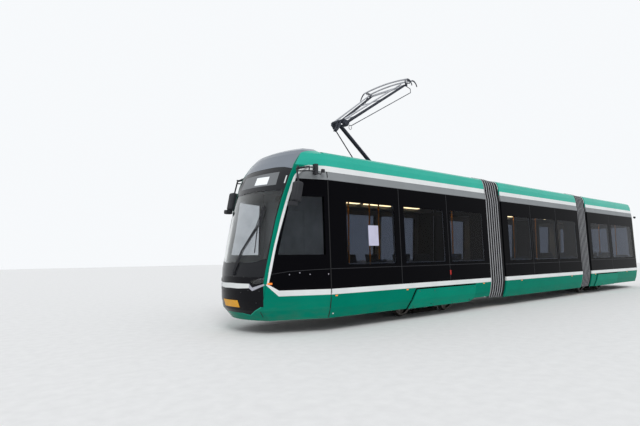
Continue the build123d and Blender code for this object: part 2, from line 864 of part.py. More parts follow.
# Two hinges behind the door: a knuckle on the leaf between two knuckles that hold the pin
hinge_x = partition_x + partition_thickness + hinge_offset
partition -= doorway
for z in HINGE_HEIGHTS:
    low, high = z - hinge_half, z + hinge_half
    bore = cylinder_z(hinge_x, -cab_door_half, low, high, hinge_pin_radius + bearing_clearance)
    knuckle = cylinder_z(hinge_x, -cab_door_half, low, high, hinge_radius)
    knuckle += block(hinge_x - hinge_offset, hinge_x, -cab_door_half, hinge_plate - cab_door_half,
                     low, high)
    cab_door += knuckle - bore
    partition += cylinder_z(hinge_x, -cab_door_half, low - 2 * hinge_half, high + 2 * hinge_half,
                            hinge_pin_radius)
    for end in (z - 2 * hinge_half - hinge_play, z + 2 * hinge_half + hinge_play):
        partition += cylinder_z(hinge_x, -cab_door_half, end - hinge_half, end + hinge_half,
                                hinge_radius)
        partition += block(hinge_x - hinge_offset, hinge_x, -cab_door_half - hinge_plate,
                           -cab_door_half, end - hinge_half, end + hinge_half)
add("cab_partition", partition)
add("cab_door", cab_door)


def mirror(side):
    """Tubular bracket with a mirror housing hung ahead of the cab window."""
    apex = (at(970), side * 1030, 3050)
    mounts = [(at(1140), side * 860, 3150), (at(1400), side * 940, 3165)]
    top = (at(945), side * 1110, 2790)
    tubes = [tube(mount, apex, mirror_tube_radius) for mount in mounts]
    tubes.append(tube(apex, top, mirror_tube_radius))
    housing = fillet(Box(150, 190, 390).edges(), 45)
    housing = Pos(at(900), side * 1115, 2605) * Rot(0, mirror_tilt, 0) * housing
    return fuse(tubes + [Pos(*apex) * Sphere(mirror_tube_radius), housing]) - cab_solid


add("mirrors", mirror(-1), mirror(1))

WIPER_ARM = [
    # across, height, clearance from the glass
    (-80, 1120, 34),
    (-250, 1550, 40),
    (-480, 1990, 24),
]
WIPER_BLADE = [(-530, 1500, 26), (-480, 1990, 24), (-525, 2380, 26)]


def run(points, radius):
    """Round bar along a chain of places on the windscreen."""
    places = [(face_x(y, z, gap), y, z) for y, z, gap in points]
    bars = [tube(a, b, radius) for a, b in zip(places, places[1:])]
    return fuse(bars + [Pos(*place) * Sphere(radius) for place in places[1:-1]])


foot_y, foot_z, foot_gap = WIPER_ARM[0]
foot_x = face_x(foot_y, foot_z, foot_gap + 11)
wiper_foot = Plane(origin=(foot_x, foot_y, foot_z), z_dir=(1, 0, 0)) * Circle(32)
wiper = run(WIPER_ARM, 11) + run(WIPER_BLADE, 9) + (extrude(wiper_foot, amount=90) - cab_solid)
add("wiper", wiper)


# Tail

tail_window = prism_x([(-rear_window_half, window_bottom_z), (rear_window_half, window_bottom_z),
                       (rear_window_half - 40, window_top_z), (40 - rear_window_half, window_top_z)],
                      tail_x - 450, tail_x + reach)
tail_lamp_cut = fuse([prism_x([(side * 700, 860), (side * 960, 860), (side * 960, 1010),
                               (side * 740, 1010)], tail_x - 450, tail_x + reach)
                      for side in (-1, 1)])
add("tail_panel", *(tail_shell - tail_window - tail_lamp_cut).solids())
add("tail_lamps", *common(tail_shell, tail_lamp_cut))
tail_floor = [(tail_seam_x, 1020), (tail_x - 480, 950), (tail_x - 300, 600)]
tail_deck = extrude(make_face(Polyline(*[(x, y, slab_z) for x, y in tail_floor],
                                       *[(x, -y, slab_z) for x, y in reversed(tail_floor)],
                                       close=True)), amount=floor_depth)
parts["rear_floor"] = [parts["rear_floor"][0] + tail_deck]
tail_ceiling = extrude(make_face(Polyline((tail_seam_x, -980, ceiling_z + 60),
                                          (tail_x - 430, -800, ceiling_z + 60),
                                          (tail_x - 430, 800, ceiling_z + 60),
                                          (tail_seam_x, 980, ceiling_z + 60),
                                          close=True)), amount=40)
parts["rear_roof"] = [parts["rear_roof"][0] + (tail_ceiling & tail_inside)]
tail_glass_shell = end_shell(tail_x, -1, TAIL_SECTION, tail_seam_x, glass_thickness)[0]
parts["rear_windows"] += common(tail_glass_shell, tail_window)


# Bogies

def wheel(side):
    """Rail wheel with its flange on the inner side and a dished web."""
    back = back_to_back / 2
    web = back + 30
    profile = [(axle_radius, back - 25), (axle_radius + 45, back - 25), (axle_radius + 50, back + 15),
               (wheel_radius - 50, back + 15), (wheel_radius - 50, back),
               (wheel_radius + 15, back), (wheel_radius + flange_height, back + 9),
               (wheel_radius + flange_height, back + 15), (wheel_radius + 4, back + flange_thickness),
               (wheel_radius, back + flange_thickness + 8), (wheel_radius - 3, back + wheel_width),
               (wheel_radius - 50, back + wheel_width), (wheel_radius - 50, web + 12),
               (axle_radius + 50, web + 12), (axle_radius + 45, back + wheel_width - 10),
               (axle_radius, back + wheel_width - 10)]
    face = make_face(Polyline(*[(r, side * y, 0) for r, y in profile], close=True))
    return revolve(face, Axis.Y)


def wheelset(x):
    axle = cylinder_y(0, 0, -axle_half_length, axle_half_length, axle_radius)
    return Pos(x, 0, axle_z) * (axle + wheel(-1) + wheel(1))


def bogie_frame(centre):
    """Outside frame with bearings, low cross beams, springs, motors and track brakes."""
    half_base = wheelbase / 2
    end = half_base + 190
    beam = [(-end, side_beam_bottom_z + 40), (-end + 60, side_beam_bottom_z),
            (end - 60, side_beam_bottom_z), (end, side_beam_bottom_z + 40),
            (end, side_beam_top_z - 40), (end - 60, side_beam_top_z), (-end + 60, side_beam_top_z),
            (-end, side_beam_top_z - 40)]
    pieces = []
    for side in (-1, 1):
        y0, y1 = sorted((side * (side_beam_y - side_beam_width / 2),
                         side * (side_beam_y + side_beam_width / 2)))
        pieces.append(prism_y(beam, y0, y1))
        for x in (-spring_x, spring_x):
            pieces.append(cylinder_z(x, side * side_beam_y, side_beam_top_z,
                                     podest_z - podest_depth - spring_clearance, spring_radius))
        motor_y = side * (side_beam_y + side_beam_width / 2 + motor_radius - 20)
        motor = Plane(origin=(-motor_length / 2, motor_y, motor_z), z_dir=(1, 0, 0))
        pieces.append(extrude(motor * Circle(motor_radius), amount=motor_length))
        brake_y0, brake_y1 = sorted((side * 470, side * 560))
        pieces.append(block(-brake_half, brake_half, brake_y0, brake_y1, 45, 125))
        hang_y0, hang_y1 = sorted((side * 500, side * 620))
        for x in (-240, 240):
            pieces.append(block(x - 40, x + 40, hang_y0, hang_y1, 115, side_beam_bottom_z + 60))
    for x in (-300, 300):
        pieces.append(block(x - 55, x + 55, -side_beam_y, side_beam_y,
                            side_beam_bottom_z, side_beam_bottom_z + 115))
    frame = fuse(pieces)
    for x in (-half_base, half_base):
        frame -= cylinder_y(x, axle_z, -reach, reach, axle_radius + bearing_clearance)
    return Pos(centre, 0, 0) * frame


for name, centre in (("front", FRONT_BOGIE), ("rear", REAR_BOGIE)):
    add(name + "_bogie_frame", bogie_frame(at(centre)))
    add(name + "_bogie_leading_wheelset", wheelset(at(centre) - wheelbase / 2))
    add(name + "_bogie_trailing_wheelset", wheelset(at(centre) + wheelbase / 2))


# Pantograph

def spot(place, y=0):
    """Point of the pantograph from its place in the side view."""
    return (at(place[0]), y, place[1])


def cross_tube(place, half, radius):
    return cylinder_y(at(place[0]), place[1], -half, half, radius)


def rod_pin(place, half, radius):
    """Short cylinder across the control rod's own plane."""
    return cylinder_y(at(place[0]), place[1], -rod_y - half, -rod_y + half, radius)


def pantograph_base():
    """Four insulators, a tube frame and the brackets of the arm and rod pivots."""
    half = base_half_width
    top = base_frame_z + base_tube
    pieces = []
    for y in (-half, half):
        pieces.append(block(at(base_front), at(base_rear), y - base_tube / 2, y + base_tube / 2,
                            base_frame_z, top))
        for x in (base_front + 120, base_rear - 120):
            pieces.append(cylinder_z(at(x), y, wall_top_z, base_frame_z, insulator_radius))
    for x in (base_front, lower_pivot[0], base_rear - base_tube):
        pieces.append(block(at(x), at(x) + base_tube, -half, half, base_frame_z, top))
    rod_foot_ys = (-rod_y - rod_bracket_y - 12, -rod_y + rod_bracket_y + 12)
    for place, ys in ((lower_pivot, (-bracket_y, bracket_y)), (rod_foot, rod_foot_ys)):
        for y in ys:
            pieces.append(block(at(place[0]) - 35, at(place[0]) + 35, y - 12, y + 12, top - 10,
                                place[1] + 35))
        pieces.append(block(at(place[0]) - 35, at(place[0]) + 35, -half, half, base_frame_z, top))
    base = fuse(pieces)
    base -= cross_tube(lower_pivot, bracket_y + 20, pivot_radius + bearing_clearance)
    return base - rod_pin(rod_foot, rod_bracket_y + 30, rod_pin_radius + bearing_clearance)


add("pantograph_base", pantograph_base())

lower_arm = fuse([tube(spot(lower_pivot), spot(knee), lower_arm_radius),
                  cross_tube(lower_pivot, bracket_y - 14, 52),
                  cross_tube(lower_pivot, bracket_y + 12, pivot_radius),
                  cross_tube(knee, knee_half_width + 12, pivot_radius)])
add("pantograph_lower_arm", lower_arm)


def crank_cheek():
    """Side outline of the plate from the knee down to the crank pin."""
    (x0, z0), (x1, z1) = (at(knee[0]), knee[1]), (at(crank_pin[0]), crank_pin[1])
    return [(x0 - 30, z0 + 34), (x1 - 30, z1 + 22), (x1 - 12, z1 - 30), (x1 + 26, z1 - 24),
            (x0 + 34, z0 - 28)]


upper_pieces = []
for side in (-1, 1):
    boss = cylinder_y(at(knee[0]), knee[1], side * knee_half_width - 10,
                      side * knee_half_width + 10, 44)
    upper_pieces.append(boss)
    upper_pieces.append(prism_y(crank_cheek(), *sorted((side * knee_half_width - 9,
                                                        side * knee_half_width + 9))))
    upper_pieces.append(tube(spot(knee, side * knee_half_width),
                             spot(head_pivot, side * head_arm_half_width), upper_tube_radius))
upper_pieces.append(cross_tube(head_pivot, head_arm_half_width + 20, head_tube_radius))
pin_gap = rod_eye_half + 5
for y0, y1 in ((-knee_half_width, -rod_y - pin_gap), (-rod_y + pin_gap, knee_half_width)):
    upper_pieces.append(cylinder_y(at(crank_pin[0]), crank_pin[1], y0, y1, rod_pin_radius))
brace_share = 0.55
brace = (knee[0] + brace_share * (head_pivot[0] - knee[0]),
         knee[1] + brace_share * (head_pivot[1] - knee[1]))
brace_half = knee_half_width + brace_share * (head_arm_half_width - knee_half_width)
upper_pieces.append(cross_tube(brace, brace_half, 14))
upper = fuse(upper_pieces)
upper -= cross_tube(knee, reach, pivot_radius + bearing_clearance)
for side in (-1, 1):
    y0, y1 = sorted((side * (head_arm_half_width - head_pin_depth), side * reach))
    upper -= cylinder_y(at(head_pivot[0]), head_pivot[1], y0, y1,
                        head_pin_radius + bearing_clearance)
add("pantograph_upper_arm", upper)

rod = fuse([tube(spot(rod_foot, -rod_y), spot(crank_pin, -rod_y), control_rod_radius),
            rod_pin(rod_foot, rod_eye_half, 24), rod_pin(crank_pin, rod_eye_half, 32)])
rod += rod_pin(rod_foot, rod_bracket_y + 22, rod_pin_radius)
add("pantograph_control_rod", rod)

leveller_y = -430
leveller_foot = (at(knee[0] + 30), -knee_half_width - 12, knee[1] - 25)
lever_foot = spot((head_pivot[0] + 40, head_pivot[1] - 150), leveller_y)
leveller = fuse([tube(leveller_foot, lever_foot, leveller_radius),
                 tube(lever_foot, spot(head_pivot, leveller_y), leveller_radius)])
add("pantograph_levelling_rod", leveller - upper)


def collector_strip(x):
    """Contact strip with a horn that turns down at each end."""
    half = strip_half_length
    points = [(-half - 90, strip_z - 130), (-half - 25, strip_z - 35), (-half + 60, strip_z),
              (half - 60, strip_z), (half + 25, strip_z - 35), (half + 90, strip_z - 130)]
    lower = [(y * (1 - 26 / (half + 90)), z - 26) for y, z in reversed(points)]
    return prism_x(points + lower, at(x) - 22, at(x) + 22)


head_pieces = [collector_strip(head_pivot[0] - strip_spacing / 2),
               collector_strip(head_pivot[0] + strip_spacing / 2)]
for side in (-1, 1):
    y = side * (head_arm_half_width + 45)
    head_pieces.append(block(at(head_pivot[0]) - strip_spacing / 2, at(head_pivot[0])
                             + strip_spacing / 2, y - 12, y + 12, strip_z - 70, strip_z - 20))
    head_pieces.append(block(at(head_pivot[0]) - 28, at(head_pivot[0]) + 28, y - 12, y + 12,
                             head_pivot[1] - 28, strip_z - 40))
    pin_end = side * (head_arm_half_width - head_pin_depth + 1)
    head_pieces.append(cylinder_y(at(head_pivot[0]), head_pivot[1], pin_end, y, head_pin_radius))
head = fuse(head_pieces)
add("pantograph_head", head)


def write_parts():
    os.makedirs("parts", exist_ok=True)
    for name, solids in parts.items():
        shape = solids[0] if len(solids) == 1 else Compound(children=solids)
        export_step(shape, "parts/" + name + ".step")


write_parts()
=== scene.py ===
import math
from functools import partial

import bmesh
import bpy
from mathutils import Matrix, Vector


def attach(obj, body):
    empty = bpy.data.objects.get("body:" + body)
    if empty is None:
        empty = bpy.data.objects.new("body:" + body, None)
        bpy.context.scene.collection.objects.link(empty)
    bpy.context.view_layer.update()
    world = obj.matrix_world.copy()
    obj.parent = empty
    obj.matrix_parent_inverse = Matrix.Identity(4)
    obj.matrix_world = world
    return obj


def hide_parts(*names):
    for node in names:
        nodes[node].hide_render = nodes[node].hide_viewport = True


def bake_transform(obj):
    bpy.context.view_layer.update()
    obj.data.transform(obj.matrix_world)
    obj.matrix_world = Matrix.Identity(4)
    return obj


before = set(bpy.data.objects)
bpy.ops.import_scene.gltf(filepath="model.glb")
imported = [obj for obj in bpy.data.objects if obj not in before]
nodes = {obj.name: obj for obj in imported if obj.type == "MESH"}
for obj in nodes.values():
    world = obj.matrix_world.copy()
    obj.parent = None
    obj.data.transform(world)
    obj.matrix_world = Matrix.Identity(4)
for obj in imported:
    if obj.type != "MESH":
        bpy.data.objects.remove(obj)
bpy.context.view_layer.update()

# Sizes shared with the part's source, in metres
DATUM = -9.845
CAR_ENDS = {"front": (1.66, 7.35), "middle": (8.15, 13.29), "rear": (14.09, 18.8)}
GANGWAYS = {"front": (7.35, 8.15), "rear": (13.29, 14.09)}
CAB_SEAM = 1.66
WAIST_BOTTOM, WAIST_TOP = 0.708, 0.812
BAND_TOP, WALL_TOP, STRIPE_TOP = 2.895, 3.06, 3.17
BODY_SECTION = [
    # height, half width
    (0.26, 1.1), (0.45, 1.16), (0.708, 1.2), (0.812, 1.2), (2.895, 1.12), (3.06, 1.09),
    (3.17, 1.08), (3.3, 1.064), (3.42, 1.02), (3.462, 0.96), (3.48, 0.86), (3.56, 0.7),
]
CAB_SECTION = [
    # height, setback of the nose, setback of the pillar, half width at the pillar
    (0.26, 0.4, 0.62, 0.66), (0.45, 0.27, 0.45, 0.7), (0.64, 0.2, 0.43, 0.72),
    (0.812, 0.19, 0.448, 0.745), (1.2, 0.225, 0.489, 0.79), (1.65, 0.325, 0.581, 0.803),
    (2.1, 0.45, 0.683, 0.82), (2.5, 0.595, 0.785, 0.845), (2.895, 0.78, 0.923, 0.875),
    (3.06, 0.86, 0.998, 0.873), (3.17, 0.925, 1.06, 0.86), (3.3, 1.0, 1.15, 0.835),
    (3.42, 1.08, 1.24, 0.8), (3.5, 1.16, 1.31, 0.755), (3.56, 1.3, 1.42, 0.65),
]
LEFT_WINDOWS = {
    "front": [(2.13, 3.57), (3.9, 5.38), (5.64, 7.11)],
    "middle": [(8.45, 9.74), (9.88, 11.44), (11.6, 13.0)],
    "rear": [(14.35, 15.98), (16.29, 18.5)],
}
RIGHT_WINDOWS = {
    "front": [(3.9, 5.38), (5.64, 7.11)],
    "middle": [(8.45, 9.74), (11.7, 13.0)],
    "rear": [(14.35, 15.98)],
}
RIGHT_DOORS = {"front": (2.12, 3.48), "middle": (10.04, 11.4), "rear": (16.95, 18.31)}
WINDOW_BOTTOM, WINDOW_TOP = 1.255, 2.5


def at(distance):
    """X of a distance from the datum ahead of the nose."""
    return DATUM + distance


def interpolate(rows, z, column):
    for low, high in zip(rows, rows[1:]):
        if z <= high[0]:
            share = (z - low[0]) / (high[0] - low[0])
            return low[column] + share * (high[column] - low[column])
    return rows[-1][column]


def half_width(z):
    return interpolate(BODY_SECTION, z, 1)


SEAM_ROWS = [(row[0], half_width(row[0])) for row in CAB_SECTION]


def side_point(side, distance, z, proud=0.0):
    """Place on the outer face of a side, given its distance from the datum and its height."""
    if distance >= CAB_SEAM:
        y = half_width(z)
    else:
        corner = interpolate(CAB_SECTION, z, 2)
        share = (distance - corner) / (CAB_SEAM - corner)
        half = interpolate(CAB_SECTION, z, 3)
        y = half + share * (interpolate(SEAM_ROWS, z, 1) - half)
    return Vector((at(distance), side * (y + proud), z))


def front_point(turn, z, proud=0.0):
    """Place on the nose's face: turn runs from -1 at the left pillar to 1 at the right one."""
    rows = list(zip(CAB_SECTION, CAB_SECTION[1:]))
    low, high = next((pair for pair in rows if z <= pair[1][0]), rows[-1])
    share = (z - low[0]) / (high[0] - low[0])
    x = y = 0.0
    for row, weight in ((low, 1 - share), (high, share)):
        depth = row[2] - row[1]
        radius = (row[3] ** 2 + depth ** 2) / (2 * depth) + proud
        angle = turn * math.asin(row[3] / (radius - proud))
        x += weight * (row[1] - proud + radius * (1 - math.cos(angle)))
        y += weight * radius * math.sin(angle)
    return Vector((at(x), y, z))


def turn_at(y, z):
    """Turn at which the nose's face has a given Y."""
    low, high = -1.1, 1.1
    for _ in range(40):
        middle = (low + high) / 2
        if front_point(middle, z).y < y:
            low = middle
        else:
            high = middle
    return low


def nose_point(y, z, lift):
    """Place on the nose's face, or lifted off it, at a Y and a height."""
    return front_point(turn_at(y, z), z, lift)


# Camera, at the photo's place

EYE = Vector((-14.575, -8.1907, 1.4618))
FOCAL_PX, IMAGE_WIDTH = 498.0, 640
YAW, PITCH, ROLL = 0.8521311, 0.0829189, -0.0082668

forward = Vector((math.cos(YAW) * math.cos(PITCH), math.sin(YAW) * math.cos(PITCH),
                  math.sin(PITCH)))
level = Vector((math.sin(YAW), -math.cos(YAW), 0.0))
upright = level.cross(forward)
right = math.cos(ROLL) * level + math.sin(ROLL) * upright
up = -math.sin(ROLL) * level + math.cos(ROLL) * upright
camera = bpy.data.objects.new("camera", bpy.data.cameras.new("camera"))
bpy.context.scene.collection.objects.link(camera)
turn = Matrix((right, up, -forward)).transposed()
camera.matrix_world = Matrix.Translation(EYE) @ turn.to_4x4()
camera.data.sensor_fit = "HORIZONTAL"
camera.data.sensor_width = 36.0
camera.data.lens = FOCAL_PX * camera.data.sensor_width / IMAGE_WIDTH
camera.data.clip_end = 200.0
bpy.context.scene.camera = camera
bpy.context.scene.view_settings.view_transform = "Standard"


# Shader graphs

class Nodes:
    """Short calls for the nodes of a tree. Sockets and plain numbers mix freely."""

    def __init__(self, tree):
        self.tree = tree

    def put(self, socket, value):
        if isinstance(value, bpy.types.NodeSocket):
            self.tree.links.new(value, socket)
        else:
            socket.default_value = value

    def node(self, kind, *values, **settings):
        """A new node with its settings, and with its inputs filled in their order."""
        node = self.tree.nodes.new("ShaderNode" + kind)
        for name, setting in settings.items():
            setattr(node, name, setting)
        for socket, value in zip(node.inputs, values):
            self.put(socket, value)
        return node

    def math(self, operation, a, b=0.0, c=0.0):
        return self.node("Math", a, b, c, operation=operation).outputs[0]

    def span(self, value, low, high, to_low, to_high):
        return self.node("MapRange", value, low, high, to_low, to_high).outputs[0]


class Graph(Nodes):
    """A material of one shader, whose textures lie in the object's own coordinates."""

    def __init__(self, name, **inputs):
        self.material = bpy.data.materials.new(name)
        self.material.use_nodes = True
        super().__init__(self.material.node_tree)
        self.shader = self.tree.nodes["Principled BSDF"]
        for socket, value in inputs.items():
            self.shader.inputs[socket.replace("_", " ")].default_value = value
        self.coords = self.node("TexCoord").outputs["Object"]
        self.x, self.y, self.z = self.node("SeparateXYZ", self.coords).outputs

    def between(self, value, low, high):
        """1 where the value lies between two limits."""
        return self.math("MULTIPLY", self.math("GREATER_THAN", value, low),
                         self.math("LESS_THAN", value, high))

    def mix(self, factor, a, b):
        node = self.node("Mix", factor, data_type="RGBA")
        for socket, value in zip(node.inputs[6:8], (a, b)):
            self.put(socket, (*value, 1.0) if isinstance(value, tuple) else value)
        return node.outputs[2]

    def noise(self, scale, detail=3.0, stretch=None):
        node = self.node("TexNoise")
        node.inputs["Scale"].default_value = scale
        node.inputs["Detail"].default_value = detail
        coords = self.coords
        if stretch:
            mapping = self.node("Mapping", coords)
            mapping.inputs["Scale"].default_value = stretch
            coords = mapping.outputs[0]
        self.put(node.inputs["Vector"], coords)
        return node.outputs[0]

    def surface(self, colour, rough, grain=None, depth=0.0):
        """The material, once its colour, its roughness and any grain are set."""
        self.put(self.shader.inputs["Base Color"], colour)
        self.put(self.shader.inputs["Roughness"], rough)
        if grain is not None:
            bump = self.node("Bump")
            bump.inputs["Strength"].default_value = 1.0
            bump.inputs["Distance"].default_value = depth
            self.put(bump.inputs["Height"], grain)
            self.put(self.shader.inputs["Normal"], bump.outputs[0])
        return self.material


GREEN = (0.0, 0.205, 0.135)
# Shroud green: the body green made lighter, as painted light from the sky on the shrouds' upturned
# curve
GREEN_PAINTED_LIGHT = (0.025, 0.42, 0.32)
# Skirt green made lighter for the proud bogie covers: painted light
GREEN_COVER_PAINTED_LIGHT = (0.002, 0.25, 0.165)
# Lighter green for a thin line along the chin's top edge: a painted highlight
GREEN_HIGHLIGHT = (0.03, 0.4, 0.28)
WHITE = (0.78, 0.8, 0.8)
GREY_BAND = (0.26, 0.275, 0.285)
GLASS_BLACK = (0.003, 0.003, 0.004)
DIRT = (0.11, 0.09, 0.07)
LINING = (0.22, 0.23, 0.24)

# Ahead of a distance from the datum, the waist stripe climbs over a length by these heights
RISE_START, RISE_LENGTH, RISE_LOW, RISE_HIGH = 0.7, 0.2, 0.18, 0.12
COVER_MARGIN = 0.008


def weathered(graph, colour, dirt_top=0.62, dirt=0.35):
    """Slow colour variation, and road dust that thins out with height."""
    cloud = graph.noise(1.7, 4.0)
    tone = graph.mix(graph.span(cloud, 0.3, 0.7, 0.0, 0.1), colour, (0.0, 0.0, 0.0))
    low = graph.span(graph.z, 0.2, dirt_top, dirt, 0.0)
    spots = graph.span(graph.noise(9.0, 6.0, (0.5, 0.5, 1.6)), 0.35, 0.75, 0.0, 1.0)
    return graph.mix(graph.math("MULTIPLY", low, spots), tone, DIRT)


def gloss(graph):
    """Roughness, ripples and their depth for a coat of paint."""
    rough = graph.span(graph.noise(5.0, 5.0), 0.3, 0.75, 0.16, 0.28)
    return rough, graph.noise(14.0, 2.0), 0.0004


def side_livery():
    """Green, white, black and grey zones by height, with the white stripe rising at the nose."""
    graph = Graph("side_livery", Specular_IOR_Level=0.012)
    distance = graph.math("SUBTRACT", graph.x, DATUM)
    ahead = graph.math("SUBTRACT", RISE_START, distance)
    rise = graph.math("MAXIMUM", graph.math("DIVIDE", ahead, RISE_LENGTH), 0.0)
    stripe_low = graph.math("MULTIPLY_ADD", rise, RISE_LOW, WAIST_BOTTOM)
    stripe_high = graph.math("MULTIPLY_ADD", rise, RISE_HIGH, WAIST_TOP)
    white = graph.between(graph.z, stripe_low, stripe_high)
    green = graph.math("LESS_THAN", graph.z, stripe_low)
    grey = graph.math("GREATER_THAN", graph.z, BAND_TOP)
    shade = graph.mix(grey, GLASS_BLACK, GREY_BAND)
    shade = graph.mix(white, shade, WHITE)
    shade = graph.mix(green, shade, GREEN)
    normal = graph.node("SeparateXYZ", graph.node("NewGeometry").outputs["Normal"]).outputs
    facing = graph.math("MULTIPLY", normal[1], graph.math("SIGN", graph.y))
    inner = graph.math("LESS_THAN", facing, -0.3)
    body = weathered(graph, shade, 0.9, 0.2)
    smudge = graph.span(graph.noise(4.0, 5.0), 0.3, 0.75, 0.0, 0.1)
    black = graph.between(graph.z, stripe_high, BAND_TOP)
    rough = graph.math("ADD", graph.span(black, 0.0, 1.0, 0.2, 0.045), smudge)
    return graph.surface(graph.mix(inner, body, LINING), rough, graph.noise(1.1, 2.0), 0.0012)


def skirt_paint():
    """Green of the skirts, made lighter on the bogie covers that stand proud of them, as painted
    light.
    """
    graph = Graph("skirt_green", Specular_IOR_Level=0.015)
    faces = []
    for (z0, y0), (z1, y1) in zip(BODY_SECTION[:2], BODY_SECTION[1:3]):
        slope = (y1 - y0) / (z1 - z0)
        faces.append(graph.math("MULTIPLY_ADD", graph.z, slope, y0 - slope * z0))
    limit = graph.math("ADD", graph.math("MINIMUM", *faces), COVER_MARGIN)
    proud = graph.math("GREATER_THAN", graph.math("ABSOLUTE", graph.y), limit)
    colour = weathered(graph, graph.mix(proud, GREEN, GREEN_COVER_PAINTED_LIGHT), 0.5, 0.2)
    return graph.surface(colour, *gloss(graph))


def paint(name, colour, specular=0.05, **options):
    graph = Graph(name, Specular_IOR_Level=specular)
    return graph.surface(weathered(graph, colour, **options), *gloss(graph))


def plastic(name, colour, rough=0.45, grain=220.0, specular=0.15):
    """Moulded plastic or powder coat with a fine grain."""
    graph = Graph(name, Specular_IOR_Level=specular)
    cloud = graph.span(graph.noise(6.0, 4.0), 0.3, 0.7, 0.0, 0.25)
    light = tuple(min(1.0, channel * 1.5 + 0.01) for channel in colour)
    wear = graph.span(graph.noise(11.0, 4.0), 0.3, 0.7, rough - 0.07, rough + 0.12)
    return graph.surface(graph.mix(cloud, colour, light), wear, graph.noise(grain, 2.0), 0.0004)


def metal(name, colour, rough=0.4, metallic=1.0):
    graph = Graph(name, Metallic=metallic)
    streak = graph.span(graph.noise(24.0, 5.0), 0.35, 0.7, 0.0, 0.6)
    dull = tuple(channel * 0.55 for channel in colour)
    wear = graph.span(graph.noise(40.0, 4.0), 0.3, 0.7, rough - 0.1, rough + 0.15)
    return graph.surface(graph.mix(streak, colour, dull), wear, graph.noise(180.0, 3.0), 0.0003)


def pane(name, tint, smudge=0.03, ior=1.45):
    """Tinted glass that lets the inside show."""
    graph = Graph(name, IOR=ior, Transmission_Weight=1.0)
    haze = graph.span(graph.noise(3.0, 5.0), 0.4, 0.8, 0.0, 0.3)
    cab = graph.math("LESS_THAN", graph.x, at(CAB_SEAM))
    clear = graph.mix(cab, tint, tuple(0.9 * channel ** 0.4 for channel in tint))
    colour = graph.mix(haze, clear, tuple(channel * 0.85 for channel in tint))
    return graph.surface(colour, graph.span(graph.noise(8.0, 5.0), 0.4, 0.8, 0.0, smudge))


def glow(name, colour, strength):
    graph = Graph(name, Emission_Strength=strength, Emission_Color=(*colour, 1.0))
    dimmer = tuple(channel * 0.9 for channel in colour)
    return graph.surface(graph.mix(graph.noise(50.0), colour, dimmer), 0.5)


def bare_rail_steel():
    """Rolled steel with a polished tread and a dusty web, all kept dark as painted shade beneath
    the skirts.
    """
    graph = Graph("wheel_steel", Metallic=0.9)
    dust = graph.span(graph.noise(16.0, 5.0), 0.35, 0.65, 0.0, 1.0)
    # The dark brown stands for dust, and both tones are kept dark as painted shade beneath the
    # skirts
    colour = graph.mix(dust, (0.16, 0.15, 0.14), (0.04, 0.032, 0.026))
    rough = graph.span(graph.noise(30.0), 0.3, 0.7, 0.3, 0.65)
    return graph.surface(colour, rough, graph.noise(90.0, 4.0), 0.0006)


